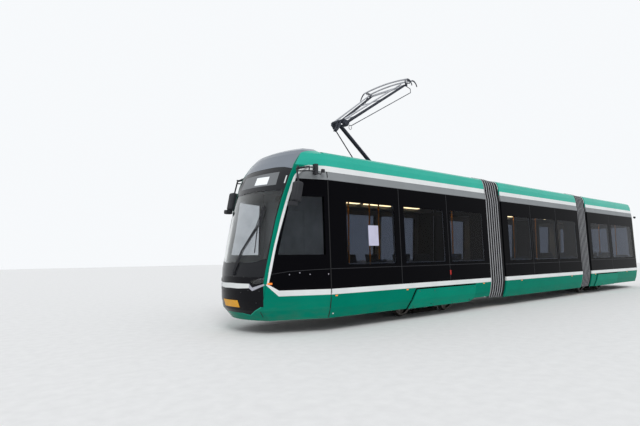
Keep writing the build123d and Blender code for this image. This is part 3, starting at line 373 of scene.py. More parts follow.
MATERIALS = {
    "livery": side_livery(),
    "green": paint("body_green", GREEN),
    # Shrouds take a lighter copy of the body green: painted light
    "green_painted_light": paint("shroud_green_painted_light", GREEN_PAINTED_LIGHT, 0.12, dirt=0.0),
    "skirt": skirt_paint(),
    # Near-black for painted shade in the gaps round the bogie covers
    "gap": plastic("gap_painted_shade", (0.004, 0.004, 0.004), 0.8, 60.0, 0.0),
    "green_highlight": paint("green_edge_painted_highlight", GREEN_HIGHLIGHT),
    "white": paint("stripe_white", WHITE),
    "roof": plastic("roof_grey", (0.22, 0.23, 0.24), 0.5, 60.0),
    "dome": paint("dome_grey", (0.2, 0.225, 0.265), 0.25, dirt=0.0),
    "mask": paint("mask_black", (0.006, 0.006, 0.008), 0.1, dirt=0.06),
    "frit": paint("glass_border_black", (0.012, 0.013, 0.016), 0.2, dirt=0.0),
    "display": paint("display_glass", (0.2, 0.21, 0.22), dirt=0.0),
    "display_box": plastic("display_housing", (0.03, 0.03, 0.033), 0.5),
    "pane": pane("window_glass", (0.22, 0.24, 0.28), smudge=0.004, ior=1.1),
    "screen": pane("windscreen_glass", (0.74, 0.8, 0.79), ior=1.3),
    # Underframe near black: its dark colour deepened as painted shade beneath the skirts
    "under": plastic("underframe_dark_painted_shade", (0.014, 0.014, 0.014), 0.8, 45.0, 0.05),
    "floor": plastic("floor_covering", (0.09, 0.095, 0.1), 0.6, 300.0),
    "lining": plastic("interior_grey", LINING, 0.5),
    "console": plastic("console_dark", (0.035, 0.036, 0.04), 0.55),
    "rail": plastic("handrail_orange", (0.8, 0.28, 0.02), 0.35),
    "seat": plastic("seat_shell", (0.06, 0.075, 0.1), 0.4),
    # Near-black for seals and seams, also used as painted shade in the bellows' fold valleys
    "rubber": plastic("seal_rubber", (0.012, 0.012, 0.013), 0.6, 400.0),
    "mirror": plastic("mirror_black", (0.028, 0.029, 0.033), 0.5),
    "steel": metal("pantograph_steel", (0.5, 0.51, 0.54), 0.4),
    "dark_steel": metal("pantograph_dark", (0.035, 0.04, 0.055), 0.5, 0.6),
    # Bogie frames near black as painted shade beneath the skirts
    "bogie": plastic("bogie_dark_painted_shade", (0.02, 0.018, 0.016), 0.8, 70.0, 0.05),
    "wheel": bare_rail_steel(),
    "amber": glow("marker_amber", (0.85, 0.22, 0.02), 0.35),
    "red": glow("tail_lamp_red", (0.6, 0.01, 0.01), 0.4),
    "lamp": pane("lamp_lens", (0.85, 0.87, 0.9)),
    "silver": metal("trim_silver", (0.5, 0.5, 0.56), 0.3),
    "plate": plastic("plate_orange", (0.75, 0.36, 0.03), 0.35),
    "ceiling_light": glow("ceiling_light", (1.0, 0.72, 0.36), 9.0),
    "notice": plastic("notice_sheet", (0.5, 0.49, 0.62), 0.6),
    "joint_line": plastic("joint_line", (0.035, 0.036, 0.04), 0.5),
    "dark_bolt": metal("dark_bolt", (0.05, 0.05, 0.055), 0.5, 0.5),
    "led_panel": glow("display_led_panel", (0.75, 0.78, 0.8), 0.35),
    "bellows": plastic("bellows_fabric", (0.33, 0.335, 0.35), 0.7, 350.0),
    "red_panel": plastic("release_red", (0.45, 0.02, 0.015), 0.4),
    "frame_light": plastic("window_frame_light", (0.3, 0.31, 0.33), 0.5),
    "fabric": plastic("seat_fabric", (0.04, 0.06, 0.11), 0.85, 500.0),
    "studio": plastic("studio_floor", (0.8, 0.8, 0.8), 0.7, 3.0),
}
NODE_ENDINGS = {
    # material: how the names of its nodes end
    "livery": ("walls", "doors", "cab_sides", "tail_panel"),
    "skirt": ("skirts",),
    "green": ("bumper",),
    "green_painted_light": ("shrouds",),
    "roof": ("_roof",),
    "dome": ("dome",),
    "mask": ("mask",),
    "pane": ("_windows",),
    "screen": ("windscreen",),
    "lamp": ("headlights",),
    "red": ("tail_lamps",),
    "display_box": ("display",),
    "under": ("_floor", "bogie_tub"),
    "floor": ("gangway_floors",),
    "seat": ("seats",),
    "rail": ("handrails",),
    "console": ("end_frame", "end_frames", "desk"),
    "lining": ("partition", "cab_door"),
    "mirror": ("mirrors", "wiper"),
    "steel": ("pantograph_base", "upper_arm", "head"),
    "dark_steel": ("lower_arm", "rod"),
    "rubber": ("bellows",),
    "bogie": ("bogie_frame",),
    "wheel": ("wheelset",),
}
for name, node in nodes.items():
    key = next(key for key, endings in NODE_ENDINGS.items() if name.endswith(endings))
    node.data.materials.clear()
    node.data.materials.append(MATERIALS[key])


# Mesh making

def ring(centre, a, b, radius, sides):
    """Points of a circle, on two directions at right angles."""
    turns = [2 * math.pi * k / sides for k in range(sides)]
    return [centre + radius * (math.cos(turn) * a + math.sin(turn) * b) for turn in turns]


def ring_faces(rings, sides):
    """Faces between rings of points, with a closed end on the first and on the last."""
    last = (rings - 1) * sides
    return [(i * sides + k, i * sides + (k + 1) % sides,
             (i + 1) * sides + (k + 1) % sides, (i + 1) * sides + k)
            for i in range(rings - 1) for k in range(sides)] + [
                tuple(range(sides)), tuple(range(last, last + sides))]


class Shape:
    """Points and faces that grow piece by piece, so that many small solids share a mesh."""

    def __init__(self):
        self.points, self.faces = [], []

    def add(self, points, faces):
        start = len(self.points)
        self.points += [Vector(p) for p in points]
        self.faces += [tuple(index + start for index in face) for face in faces]

    def box(self, low, high, bevel=0.0):
        """Box with all its edges cut back by a bevel, if one is given."""
        low, high = Vector(low), Vector(high)
        size = high - low
        shape = bmesh.new()
        bmesh.ops.create_cube(shape, size=1.0)
        for vertex in shape.verts:
            vertex.co = Vector([low[i] + (vertex.co[i] + 0.5) * size[i] for i in range(3)])
        if bevel > 0:
            bmesh.ops.bevel(shape, geom=shape.edges[:], offset=min(bevel, min(size) * 0.45),
                            segments=2, affect="EDGES", profile=0.7)
        shape.verts.index_update()
        self.add([v.co.copy() for v in shape.verts],
                 [[v.index for v in face.verts] for face in shape.faces])
        shape.free()

    def tube(self, path, radius, sides=10, end_radius=None):
        """Round bar along a path, with mitred bends, closed ends and any taper."""
        path = [Vector(p) for p in path]
        end_radius = radius if end_radius is None else end_radius
        points, before = [], None
        for index, point in enumerate(path):
            along = (path[min(index + 1, len(path) - 1)] - path[max(index - 1, 0)]).normalized()
            if before is None:
                cross = along.orthogonal().normalized()
            else:
                cross = (before - along * before.dot(along)).normalized()
            size = radius + (end_radius - radius) * index / (len(path) - 1)
            points += ring(point, cross, along.cross(cross), size, sides)
            before = cross
        self.add(points, ring_faces(len(path), sides))

    def disc(self, centre, axis, radius, depth, sides=16, rim=0.0):
        """Short round solid with a chamfered front rim."""
        axis = Vector(axis).normalized()
        a = axis.orthogonal().normalized()
        points = []
        for height, size in ((0.0, radius), (depth - rim, radius), (depth, radius - rim)):
            points += ring(Vector(centre) + axis * height, a, axis.cross(a), size, sides)
        self.add(points, ring_faces(3, sides))

    def skin(self, grid_outer, grid_inner):
        """Closed thin solid between two grids of the same size."""
        rows, columns = len(grid_outer), len(grid_outer[0])
        points = [p for grid in (grid_outer, grid_inner) for row in grid for p in row]
        offset = rows * columns
        faces = []
        for i in range(rows - 1):
            for j in range(columns - 1):
                a, b = i * columns + j, i * columns + j + 1
                c, d = b + columns, a + columns
                faces.append((a, b, c, d))
                faces.append((a + offset, d + offset, c + offset, b + offset))
        edges = [(i * columns + j, i * columns + j + 1)
                 for i in (0, rows - 1) for j in range(columns - 1)]
        edges += [(i * columns + j, (i + 1) * columns + j)
                  for i in range(rows - 1) for j in (0, columns - 1)]
        faces += [(a, a + offset, b + offset, b) for a, b in edges]
        self.add(points, faces)

    def made(self, name, material, slot="body_green", body="front_car", smooth=35):
        """A mesh object of these solids, which rides on a body; the slot argument is not used."""
        mesh = bpy.data.meshes.new(name)
        mesh.from_pydata(self.points, [], self.faces)
        shape = bmesh.new()
        shape.from_mesh(mesh)
        bmesh.ops.recalc_face_normals(shape, faces=shape.faces)
        shape.to_mesh(mesh)
        shape.free()
        mesh.shade_smooth()
        mesh.set_sharp_from_angle(angle=math.radians(smooth))
        mesh.materials.append(MATERIALS[material])
        obj = bpy.data.objects.new(name, mesh)
        bpy.context.scene.collection.objects.link(obj)
        if body:
            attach(obj, body)
        return obj


def at_share(points, share):
    """Place along a polyline at a share of its length."""
    points = [Vector(p) for p in points]
    lengths = [(b - a).length for a, b in zip(points, points[1:])]
    goal = share * sum(lengths)
    for a, b, length in zip(points, points[1:], lengths):
        if goal <= length:
            return a.lerp(b, goal / length)
        goal -= length
    return points[-1]


def strip(shape, place, upper, lower, proud, depth, steps, rows):
    """Thin strip between two lines, on the surface whose points place(a, b, height) gives."""
    places = [[at_share(upper, j / steps).lerp(at_share(lower, j / steps), i / rows)
               for j in range(steps + 1)] for i in range(rows + 1)]
    shape.skin(*[[[place(a, b, height) for a, b in row] for row in places]
                 for height in (proud, proud - depth)])


def side_strip(shape, side, upper, lower, proud=0.0025, depth=0.004, steps=24, rows=4):
    """Strip on a side between two lines of (distance, height) places."""
    strip(shape, partial(side_point, side), upper, lower, proud, depth, steps, rows)


def front_strip(shape, upper, lower, proud=0.0025, depth=0.004, steps=32, rows=4):
    """Strip on the nose between two lines of (turn, height) places."""
    strip(shape, front_point, upper, lower, proud, depth, steps, rows)


def side_plate(shape, side, start, end, low, high, proud=0.0025, depth=0.004, rows=1, steps=1):
    """Strip on a side between two distances and two heights."""
    side_strip(shape, side, [(start, high), (end, high)], [(start, low), (end, low)],
               proud, depth, steps, rows)


def side_disc(shape, side, distance, z, radius, depth, proud=0.0, sides=14, rim=0.001):
    shape.disc(side_point(side, distance, z, proud), (0, side, 0), radius, depth, sides, rim)


def side_box(shape, side, low, high, bevel):
    """Box between two (distance, y, z) corners of the right side, or its mirror image."""
    low_y, high_y = sorted((side * low[1], side * high[1]))
    shape.box((at(low[0]), low_y, low[2]), (at(high[0]), high_y, high[2]), bevel)


def side_tube(shape, side, path, radius):
    """Round bar along (distance, y, z) places of the right side, or its mirror image."""
    shape.tube([(at(distance), side * y, z) for distance, y, z in path], radius)


# Pillar stripes: green round the corner and white behind it, curving back under the shroud

PILLAR_STRIPES = [
    # height, turn where the green begins, green's end and white's end behind the pillar
    (0.7, 1.0, 0.02, 0.04), (0.93, 0.945, 0.02, 0.05), (1.18, 0.95, 0.02, 0.068),
    (1.54, 0.957, 0.027, 0.07), (1.9, 0.955, 0.043, 0.083), (2.1, 0.955, 0.046, 0.099),
    (2.46, 0.967, 0.06, 0.108), (2.85, 0.972, 0.058, 0.111), (3.06, 0.97, 0.09, 0.2),
    (3.2, 0.96, 0.09, 0.2), (3.3, 0.975, 0.09, 0.2), (3.4, 1.0, 0.09, 0.2),
]


def pillar_edge(z, column=None):
    """Setback of the pillar, or of a stripe's edge behind it."""
    edge = interpolate(CAB_SECTION, z, 2)
    return edge - 0.002 if column is None else edge + interpolate(PILLAR_STRIPES, z, column)


pillar_heights = [0.93 + (2.86 - 0.93) * k / 14 for k in range(15)]
nose_heights = [0.7 + (3.4 - 0.7) * k / 24 for k in range(25)]
green_strips, white_strips = Shape(), Shape()
roof_stripes = {car: Shape() for car in CAR_ENDS}
for side in (-1, 1):
    nose_edge = [(side * interpolate(PILLAR_STRIPES, z, 1), z) for z in nose_heights]
    front_strip(green_strips, nose_edge, [(side * 1.003, z) for z in nose_heights],
                0.003, 0.0045, 60, 2)
    front_edge = [(pillar_edge(z), z) for z in pillar_heights]
    front_edge += [(0.985, 3.03), (1.06, 3.17)]
    middle_edge = [(pillar_edge(z, 2), z) for z in pillar_heights]
    middle_edge += [(1.01, 2.945), (1.093, 3.045), (1.157, 3.111), (1.24, 3.155), (1.308, 3.17)]
    side_strip(green_strips, side, front_edge, middle_edge, steps=48)
    rear_edge = [(pillar_edge(z, 3), z) for z in pillar_heights]
    rear_edge += [(1.047, 2.945), (1.107, 2.984), (1.166, 3.033), (1.27, 3.061), (CAB_SEAM, 3.061)]
    outer_edge = middle_edge + [(CAB_SEAM, STRIPE_TOP)]
    side_strip(white_strips, side, outer_edge, rear_edge, steps=64)
    side_strip(green_strips, side, [(1.06, 3.17), (1.308, 3.17)],
               [(1.02, 3.09), (1.13, 3.09)], steps=6)
    for car, (start, end) in CAR_ENDS.items():
        side_plate(roof_stripes[car], side, start, end, WALL_TOP, STRIPE_TOP, steps=2)
green_strips.made("pillar_stripes_green", "green")
white_strips.made("pillar_stripes_white", "white")
for car, stripes in roof_stripes.items():
    stripes.made(f"{car}_roof_stripes", "white", body=f"{car}_car")


# Livery details along the sides

BODY_CARS = [(car, f"{car}_car") for car in CAR_ENDS]
BOGIE_COVERS = {
    # car: (start of the lower edge, start of the upper edge, end)
    "front": (4.01, 4.24, 6.6), "rear": (14.48, 14.6, 16.56),
}
MARKERS = {"front": (1.79, 3.9, 7.0), "middle": (9.02, 12.41), "rear": (14.4, 17.6)}
PANEL_JOINTS = {"front": (3.74, 5.53), "middle": (9.81, 11.52), "rear": (16.135,)}
JOINT_LINES = {"front": (1.19, 2.894), "middle": (1.155, 2.894), "rear": (1.19, 2.894)}
JOINT_HALF = 0.004
JOINT_SKIN = 0.001, 0.003

for car, body in BODY_CARS:
    start, end = CAR_ENDS[car]
    joints, lamps, bolts = Shape(), Shape(), Shape()
    for side in (-1, 1):
        runs = [(start, end)]
        if side == 1:
            door_start, door_end = RIGHT_DOORS[car]
            runs = [(start, door_start - 0.01), (door_end + 0.01, end)]
        for run in runs:
            for line in JOINT_LINES[car]:
                side_plate(joints, side, *run, line - JOINT_HALF, line + JOINT_HALF, *JOINT_SKIN)
        if side == -1:
            for joint in PANEL_JOINTS[car]:
                side_plate(joints, side, joint - 0.005, joint + 0.005, 0.82, 2.885, *JOINT_SKIN)
        for marker in MARKERS[car]:
            side_plate(lamps, side, marker - 0.03, marker + 0.03, 0.672, 0.696, 0.006, 0.01)
        if car in BOGIE_COVERS:
            low, high, last = BOGIE_COVERS[car]
            places = [(high + 0.07 + (last - high - 0.13) * k / 4, 0.625) for k in range(5)]
            places += [(low + 0.14 + (last - low - 0.38) * k / 3, 0.3) for k in range(4)]
            for distance, z in places:
                side_disc(bolts, side, distance, z, 0.013, 0.007, 0.024, 12, 0.003)
    joints.made(f"{car}_panel_joints", "joint_line", "black_band", body)
    lamps.made(f"{car}_marker_lamps", "amber", body=body)
    if bolts.points:
        bolts.made(f"{car}_cover_bolts", "dark_bolt", body=body)


# Painted shade in the gaps round the bogie covers, and window frames seen through the glass

FRAME_FOOT, FRAME_HEAD = WINDOW_BOTTOM + 0.012, WINDOW_TOP - 0.012
FRAME_SKIN = -0.014, 0.006

for car, body in BODY_CARS:
    frames, gap = Shape(), Shape()
    for side, windows in ((-1, LEFT_WINDOWS), (1, RIGHT_WINDOWS)):
        for start, end in windows[car]:
            side_plate(frames, side, end - 0.028, end - 0.01, FRAME_FOOT, FRAME_HEAD, *FRAME_SKIN)
            side_plate(frames, side, start + 0.012, end - 0.03, FRAME_FOOT, FRAME_FOOT + 0.022,
                       *FRAME_SKIN)
        if car in BOGIE_COVERS:
            low, high, last = BOGIE_COVERS[car]
            # Black strips along the cover's top, front and back edges are painted shade in its
            # gaps; two black dots sit on the cover
            side_plate(gap, side, high - 0.03, last + 0.012, 0.67, 0.702, 0.002, 0.004)
            side_strip(gap, side, [(high - 0.044, 0.69), (high - 0.002, 0.69)],
                       [(low - 0.05, 0.262), (low - 0.005, 0.262)], 0.002, 0.004, 2, 6)
            side_plate(gap, side, last + 0.002, last + 0.012, 0.335, 0.69, 0.002, 0.004)
            for share in (0.305, 0.92):
                side_disc(gap, side, low + share * (last - low), 0.315, 0.017, 0.003, 0.025)
    frames.made(f"{car}_window_frames", "frame_light", "black_band", body)
    if gap.points:
        gap.made(f"{car}_cover_gap_shade", "gap", body=body)


# Small fittings on the sides of the front car and the cab

SIDE_PLATES = [
    # name, material, slot, sides, start, end, low, high, proud, depth, rows, steps
    ("door_release_panels", "red_panel", "black_band", (-1, 1),
     5.522, 5.567, 0.955, 1.06, 0.004, 0.008, 1, 1),
    ("window_notice", "notice", "black_band", (-1,),
     2.735, 3.035, 1.632, 2.05, 0.0012, 0.001, 1, 1),
    ("cab_seam", "rubber", "black_band", (-1, 1),
     1.65, 1.67, 0.27, 3.055, 0.002, 0.004, 30, 1),
    ("pillar_marker_lamps", "amber", "body_green", (-1, 1),
     0.49, 0.572, 0.922, 0.957, 0.007, 0.011, 1, 4),
]
SIDE_DISCS = [
    # name, material, slot, depth, then distance, height and radius of each
    ("jacking_marks", "white", "body_green", 0.003, [(1.757, 0.345, 0.017), (7.14, 0.33, 0.015)]),
    ("cab_side_locks", "silver", "black_band", 0.004,
     [(0.877, 1.098, 0.011), (1.067, 1.127, 0.011), (1.259, 1.095, 0.011), (1.61, 1.092, 0.011)]),
]
CAB_JOINT = [(0.545, 1.112), (0.865, 1.158), (1.385, 1.184), (1.64, 1.19)]
CAB_JOINT_WIDTH = 0.007
POLES = [
    # distance, Y
    (2.755, -0.56), (3.41, -0.56), (6.6, -0.56), (2.2, 0.9),
]

for name, material, slot, sides, *extent in SIDE_PLATES:
    plates = Shape()
    for side in sides:
        side_plate(plates, side, *extent)
    plates.made(name, material, slot)
for name, material, slot, depth, places in SIDE_DISCS:
    discs = Shape()
    for side in (-1, 1):
        for distance, z, radius in places:
            side_disc(discs, side, distance, z, radius, depth)
    discs.made(name, material, slot)
cab_lines, poles = Shape(), Shape()
for side in (-1, 1):
    lower = [(distance, z - CAB_JOINT_WIDTH) for distance, z in CAB_JOINT]
    side_strip(cab_lines, side, CAB_JOINT, lower, *JOINT_SKIN, 20, 1)
for distance, y in POLES:
    side_tube(poles, 1, [(distance, y, z) for z in (0.44, 1.5, 2.73)], 0.018)
cab_lines.made("cab_panel_joints", "joint_line", "black_band")
poles.made("front_entry_poles", "rail", "handrail_yellow")


# Nose: frit round the windscreen, display pane, stripe, lamps and plate

def mirrored_line(half_line):
    """A line of (y, z) places from the middle, continued to both sides, as (turn, z)."""
    right_half = [(turn_at(y, z), z) for y, z in half_line]
    return [(-turn, z) for turn, z in reversed(right_half[1:])] + right_half


def nose_strip(shape, side, upper, lower, *extent):
    """Strip on one half of the nose, between two lines of (y, z) places."""
    edges = [[(side * turn_at(y, z), z) for y, z in line] for line in (upper, lower)]
    front_strip(shape, *edges, *extent)


def nose_disc(shape, y, z, *extent):
    """Disc square to the nose's face."""
    centre = nose_point(y, z, 0.001)
    shape.disc(centre, nose_point(y, z, 0.1) - centre, *extent)


frit = Shape()
foot_line = mirrored_line([(0, 1.325), (0.37, 1.315), (0.55, 1.33), (0.75, 1.4)])
foot_line = [(-0.99, 1.41), *foot_line, (0.99, 1.41)]
front_strip(frit, foot_line, [(-0.99, 1.061), (0.99, 1.061)], rows=8)
seam_line = [(-0.99, 3.085), (-0.73, 3.14), (-0.46, 3.158), (0, 3.158), (0.46, 3.158),
             (0.73, 3.14), (0.99, 3.085)]
front_strip(frit, seam_line, [(-0.99, 2.665), (0, 2.695), (0.99, 2.665)], rows=12)
for side in (-1, 1):
    front_strip(frit, [(side * 0.925, 1.38), (side * 0.935, 2.7)],
                [(side * 0.99, 1.38), (side * 0.99, 2.7)], steps=24, rows=2)
frit.made("windscreen_border", "frit", "windscreen_glass")

NOSE_PATCHES = [
    # name, material, slot, upper edge, lower edge, proud, depth, steps, rows
    ("dome_seam", "rubber", "dome_grey", seam_line, [(turn, z - 0.008) for turn, z in seam_line],
     0.0035, 0.005, 32, 1),
    ("display_pane", "display", "display_black", [(-0.655, 3.045), (0.655, 3.045)],
     [(-0.69, 2.785), (0.69, 2.785)], 0.004, 0.004, 32, 10),
    ("display_leds", "led_panel", "display_black", [(-0.4, 2.972), (0.045, 2.985)],
     [(-0.41, 2.815), (0.035, 2.825)], 0.006, 0.003, 32, 6),
    ("screen_edge_mark", "white", "windscreen_glass", [(-0.915, 2.95), (-0.885, 2.95)],
     [(-0.925, 2.8), (-0.895, 2.8)], 0.004, 0.003, 2, 3),
    ("nose_stripe", "white", "body_green",
     mirrored_line([(0, 0.947), (0.2, 0.942), (0.478, 0.94)]),
     mirrored_line([(0, 0.855), (0.22, 0.85), (0.475, 0.862)]), 0.003, 0.004, 60, 4),
]
for name, material, slot, *extent in NOSE_PATCHES:
    patch = Shape()
    front_strip(patch, *extent)
    patch.made(name, material, slot)

plate, nose_silver, nose_dots = Shape(), Shape(), Shape()
nose_strip(plate, 1, [(-0.205, 0.632), (0.315, 0.632)], [(-0.205, 0.5), (0.315, 0.5)],
           0.008, 0.008, 16, 3)
for side in (-1, 1):
    nose_strip(nose_silver, side, [(0.476, 0.94), (0.538, 0.872), (0.735, 0.942)],
               [(0.473, 0.862), (0.542, 0.812), (0.74, 0.91)], 0.0035, 0.004, 24, 2)
    for y, z in ((0.46, 0.82), (0.66, 0.81), (0.72, 1.03), (0.6, 0.6), (0.3, 0.78)):
        nose_disc(nose_dots, side * y, z, 0.009, 0.004, 12, 0.002)
plate.made("number_plate", "plate")
nose_silver.made("nose_trim_line", "silver")
nose_dots.made("nose_fixings", "dark_bolt")

LAMP_UNITS = [
    # Y, height, radius
    (0.575, 0.972, 0.021), (0.632, 0.985, 0.021), (0.69, 0.998, 0.019),
]
lenses, bezels = Shape(), Shape()
for side in (-1, 1):
    for y, z, radius in LAMP_UNITS:
        nose_disc(bezels, side * y, z, radius + 0.004, 0.004, 20, 0.002)
        nose_disc(lenses, side * y, z, radius, 0.009, 20, 0.004)
bezels.made("lamp_bezels", "dark_bolt", "mirror_black")
lenses.made("lamp_lenses", "lamp", "lamp_glass")

chin_slots, chin_edge_highlight = Shape(), Shape()
for side in (-1, 1):
    nose_strip(chin_slots, side, [(0.628, 0.43), (0.645, 0.44)], [(0.6, 0.33), (0.615, 0.33)],
               0.002, 0.004, 2, 3)
    # Lighter green strip along the chin's top edge: a painted highlight
    nose_strip(chin_edge_highlight, side, [(0.2, 0.396), (0.39, 0.366), (0.67, 0.526)],
               [(0.2, 0.388), (0.39, 0.356), (0.675, 0.514)], 0.003, 0.004, 30, 1)
chin_slots.made("chin_slots", "rubber")
chin_edge_highlight.made("chin_edge_highlight", "green_highlight")

WIPER_LINE = [(-0.1, 1.16), (-0.25, 1.55), (-0.48, 1.99), (-0.52, 2.36)]
WIPER_GAP, WIPER_LIFT, WIPER_RUNGS = 0.028, 0.036, 16
wiper_bars = Shape()
bars = [[nose_point(y + shift, z, WIPER_LIFT) for y, z in WIPER_LINE]
        for shift in (WIPER_GAP, -WIPER_GAP)]
for bar in bars:
    wiper_bars.tube(bar, 0.008, 8)
for k in range(WIPER_RUNGS):
    wiper_bars.tube([at_share(bar, (k + 0.5) / WIPER_RUNGS) for bar in bars], 0.006, 6)
wiper_bars.made("wiper_bars", "mirror", "mirror_black")


# Bellows with their folds, over both sides and the roof, with painted shade in the fold valleys

FOLDS, FOLD_DEPTH, BELLOWS_INSET = 6, 0.058, 0.024
BELLOWS_LOW, BACK_INSET = 0.281, 0.088
FOLD_PROFILE = [(0.0, 1.0), (0.09, 0.94), (0.2, 0.42), (0.34, 0.07), (0.5, 0.0), (0.66, 0.07),
                (0.8, 0.42), (0.91, 0.94)]


def arch_row(x, inset):
    """Points across the section at a station, from the left foot over the roof to the right."""
    places = [(half_width(z), z, 1.0, 0.0)
              for z in (BELLOWS_LOW, 0.45, 0.708, 1.2, 1.8, 2.4, 2.895, 3.06, 3.17, 3.3)]
    places += [(1.02, 3.415, 0.85, 0.45), (0.96, 3.458, 0.5, 0.85), (0.86, 3.48, 0.2, 1.0),
               (0.7, 3.548, 0.1, 1.0), (0.35, 3.55, 0.0, 1.0), (0.0, 3.55, 0.0, 1.0)]
    half = [(y - inset * across, z - (inset - BELLOWS_INSET) * down)
            for y, z, across, down in places]
    return ([Vector((x, -y, z)) for y, z in half]
            + [Vector((x, y, z)) for y, z in reversed(half[:-1])])


def bellows(name, start, end, body_a, body_b, node):
    """Folded skin between two frames, with rows of (x, depth of the fold, dark or not). The dark
    rows are the black frames, and painted shade round each fold's valley.
    """
    lip, frame_width = 0.02, 0.1
    pitch = (end - frame_width - (start + lip)) / FOLDS
    stations = [(start, 0.3, 1), (start + lip, 0.3, 1)]
    for fold in range(FOLDS):
        for share, depth in FOLD_PROFILE:
            # Rows in and near each valley take the near-black material: painted shade in the folds
            dark = 1 if share < 0.3 or share > 0.6 else 0
            stations.append((start + lip + 0.001 + (fold + share) * pitch, depth, dark))
    stations += [(end - frame_width, 1.0, 1), (end - frame_width + 0.004, 0.25, 1),
                 (end, 0.25, 1)]
    outer = [arch_row(x, BELLOWS_INSET + depth * FOLD_DEPTH) for x, depth, _ in stations]
    inner = [arch_row(x, BACK_INSET) for x, _, _ in stations]
    shape = Shape()
    shape.skin(outer, inner)
    obj = shape.made(name, "bellows", "bellows_rubber", None, 50)
    # Second material for the dark rows: black for the frames, painted shade in the valleys
    obj.data.materials.append(MATERIALS["rubber"])
    columns = len(outer[0]) - 1
    for row, (_, _, dark) in enumerate(stations[:-1]):
        for face in range(row * columns * 2, (row + 1) * columns * 2):
            obj.data.polygons[face].material_index = dark
    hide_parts(node)
    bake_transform(obj)


HINGED_CARS = {"front": ("front_car", "middle_car"), "rear": ("middle_car", "rear_car")}
for place, (start, end) in GANGWAYS.items():
    bellows(f"folded_bellows_{place}", at(start), at(end), *HINGED_CARS[place],
            f"{place}_bellows")


# Pantograph: upper arm with its knee casting, laced head tube, arched strips with horns

# Pins as (distance, height), and the Y of the control rod
KNEE, CRANK, HEAD = (3.08, 4.42), (2.86, 4.26), (4.76, 5.6)
ROD_Y = -0.076
STRIP_OFFSETS, STRIP_HALF, STRIP_TOP, STRIP_ARCH = (-0.095, 0.095), 0.735, 0.148, 0.055
HORN_LINE = [
    # Y, shift along the car, height over the head's pin
    (0.72, 0.0, 0.096), (0.775, -0.002, 0.062), (0.822, -0.006, 0.0), (0.852, -0.01, -0.062),
    (0.862, -0.012, -0.1),
]


def spot(place, y, dx=0.0, dz=0.0):
    """Place at a pin, moved along the car and up."""
    return Vector((at(place[0] + dx), y, place[1] + dz))


ON_ARM = "pantograph_steel", "pantograph_upper_arm"
ON_HEAD = "pantograph_steel", "pantograph_head"
knee, crank, head = (partial(spot, pin) for pin in (KNEE, CRANK, HEAD))
arm, lacing = Shape(), Shape()
for side in (-1, 1):
    foot = knee(side * 0.17, -0.07, 0.01)
    shoulder = knee(side * 0.19, 0.06, 0.07)
    top = head(side * 0.535, -0.012, -0.008)
    arm.tube([foot, shoulder, top], 0.04, 12, 0.027)
    arm.disc(knee(side * 0.126), (0, side, 0), 0.052, 0.1, 18, 0.01)
    side_box(arm, side, (KNEE[0] - 0.1, 0.13, KNEE[1] + 0.012),
             (KNEE[0] + 0.09, 0.215, KNEE[1] + 0.1), 0.02)
    lacing.tube([knee(side * 0.175, -0.03, 0.115), head(side * 0.5, -0.075, 0.028)], 0.021, 10,
                0.015)
arm.tube([knee(-0.2, -0.09, 0.08), knee(0.15, -0.09, 0.08)], 0.032, 12)
for side in (-1, 1):
    y = ROD_Y + side * 0.05
    arm.tube([knee(y, -0.09, 0.08), knee(y, -0.15, -0.06), crank(y)], 0.024, 10, 0.018)
    arm.tube([crank(y - side * 0.032), crank(y + side * 0.016)], 0.012)
arm_piece = arm.made("pantograph_arm_and_knee", "dark_steel", *ON_ARM)
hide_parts("pantograph_upper_arm")

lacing.tube([head(-0.552), head(0.552)], 0.028, 12)
lacing.tube([head(-0.5, -0.075, -0.04), head(0.5, -0.075, -0.04)], 0.015)
lacing.tube([head(-0.5 + k / 14, *((0.0, 0.0) if k % 2 else (-0.075, -0.04)))
             for k in range(15)], 0.011, 8)
for share in (0.16, 0.62):
    ends = [knee(side * 0.19, 0.06, 0.07).lerp(head(side * 0.535), share)
            for side in (-1, 1)]
    lacing.tube(ends, 0.012)
lacing.made("pantograph_lacing", "steel", *ON_ARM)

leveller = Shape()
leveller.tube([knee(-0.235, 0.03, -0.02), knee(-0.245, 0.11, -0.03), head(-0.56, 0.22, -0.135),
               head(-0.562, 0.21, -0.045), head(-0.556, 0.035, 0.0)], 0.0095, 8)
leveller.tube([knee(-0.235, 0.09 + 0.045 * math.cos(a), -0.075 + 0.045 * math.sin(a))
               for a in [2.2 + k * 0.55 for k in range(10)]], 0.006, 8)
leveller_piece = leveller.made("pantograph_leveller", "dark_steel", *ON_ARM)
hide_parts("pantograph_levelling_rod")

strips, horns = Shape(), Shape()
for offset in STRIP_OFFSETS:
    shares = [-1 + 2 * k / 16 for k in range(17)]
    strips.tube([head(STRIP_HALF * share, offset, STRIP_TOP - STRIP_ARCH * share ** 2)
                 for share in shares], 0.021, 8)
    for side in (-1, 1):
        horns.tube([head(side * y, offset + shift, z) for y, shift, z in HORN_LINE], 0.018, 8,
                   0.011)
for side in (-1, 1):
    horns.tube([head(side * 0.519), head(side * 0.6)], 0.012)
    side_box(horns, side, (HEAD[0] - 0.03, 0.585, HEAD[1] - 0.035),
             (HEAD[0] + 0.03, 0.62, HEAD[1] + 0.05), 0.01)
    for offset in STRIP_OFFSETS:
        horns.tube([head(side * 0.603), head(side * 0.61, offset * 0.5, 0.055),
                    head(side * 0.64, offset * 0.9, 0.05), head(side * 0.655, offset, 0.1)],
                   0.013, 8)
    horns.tube([head(side * 0.655, offset, 0.1) for offset in STRIP_OFFSETS], 0.012, 8)
head_piece = strips.made("pantograph_contact_strips", "steel", *ON_HEAD)
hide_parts("pantograph_head")
horns.made("pantograph_horns_and_links", "dark_steel", *ON_HEAD)


# Mirror brackets: a post on the cantrail, twin tubes, a small camera and a lower mirror

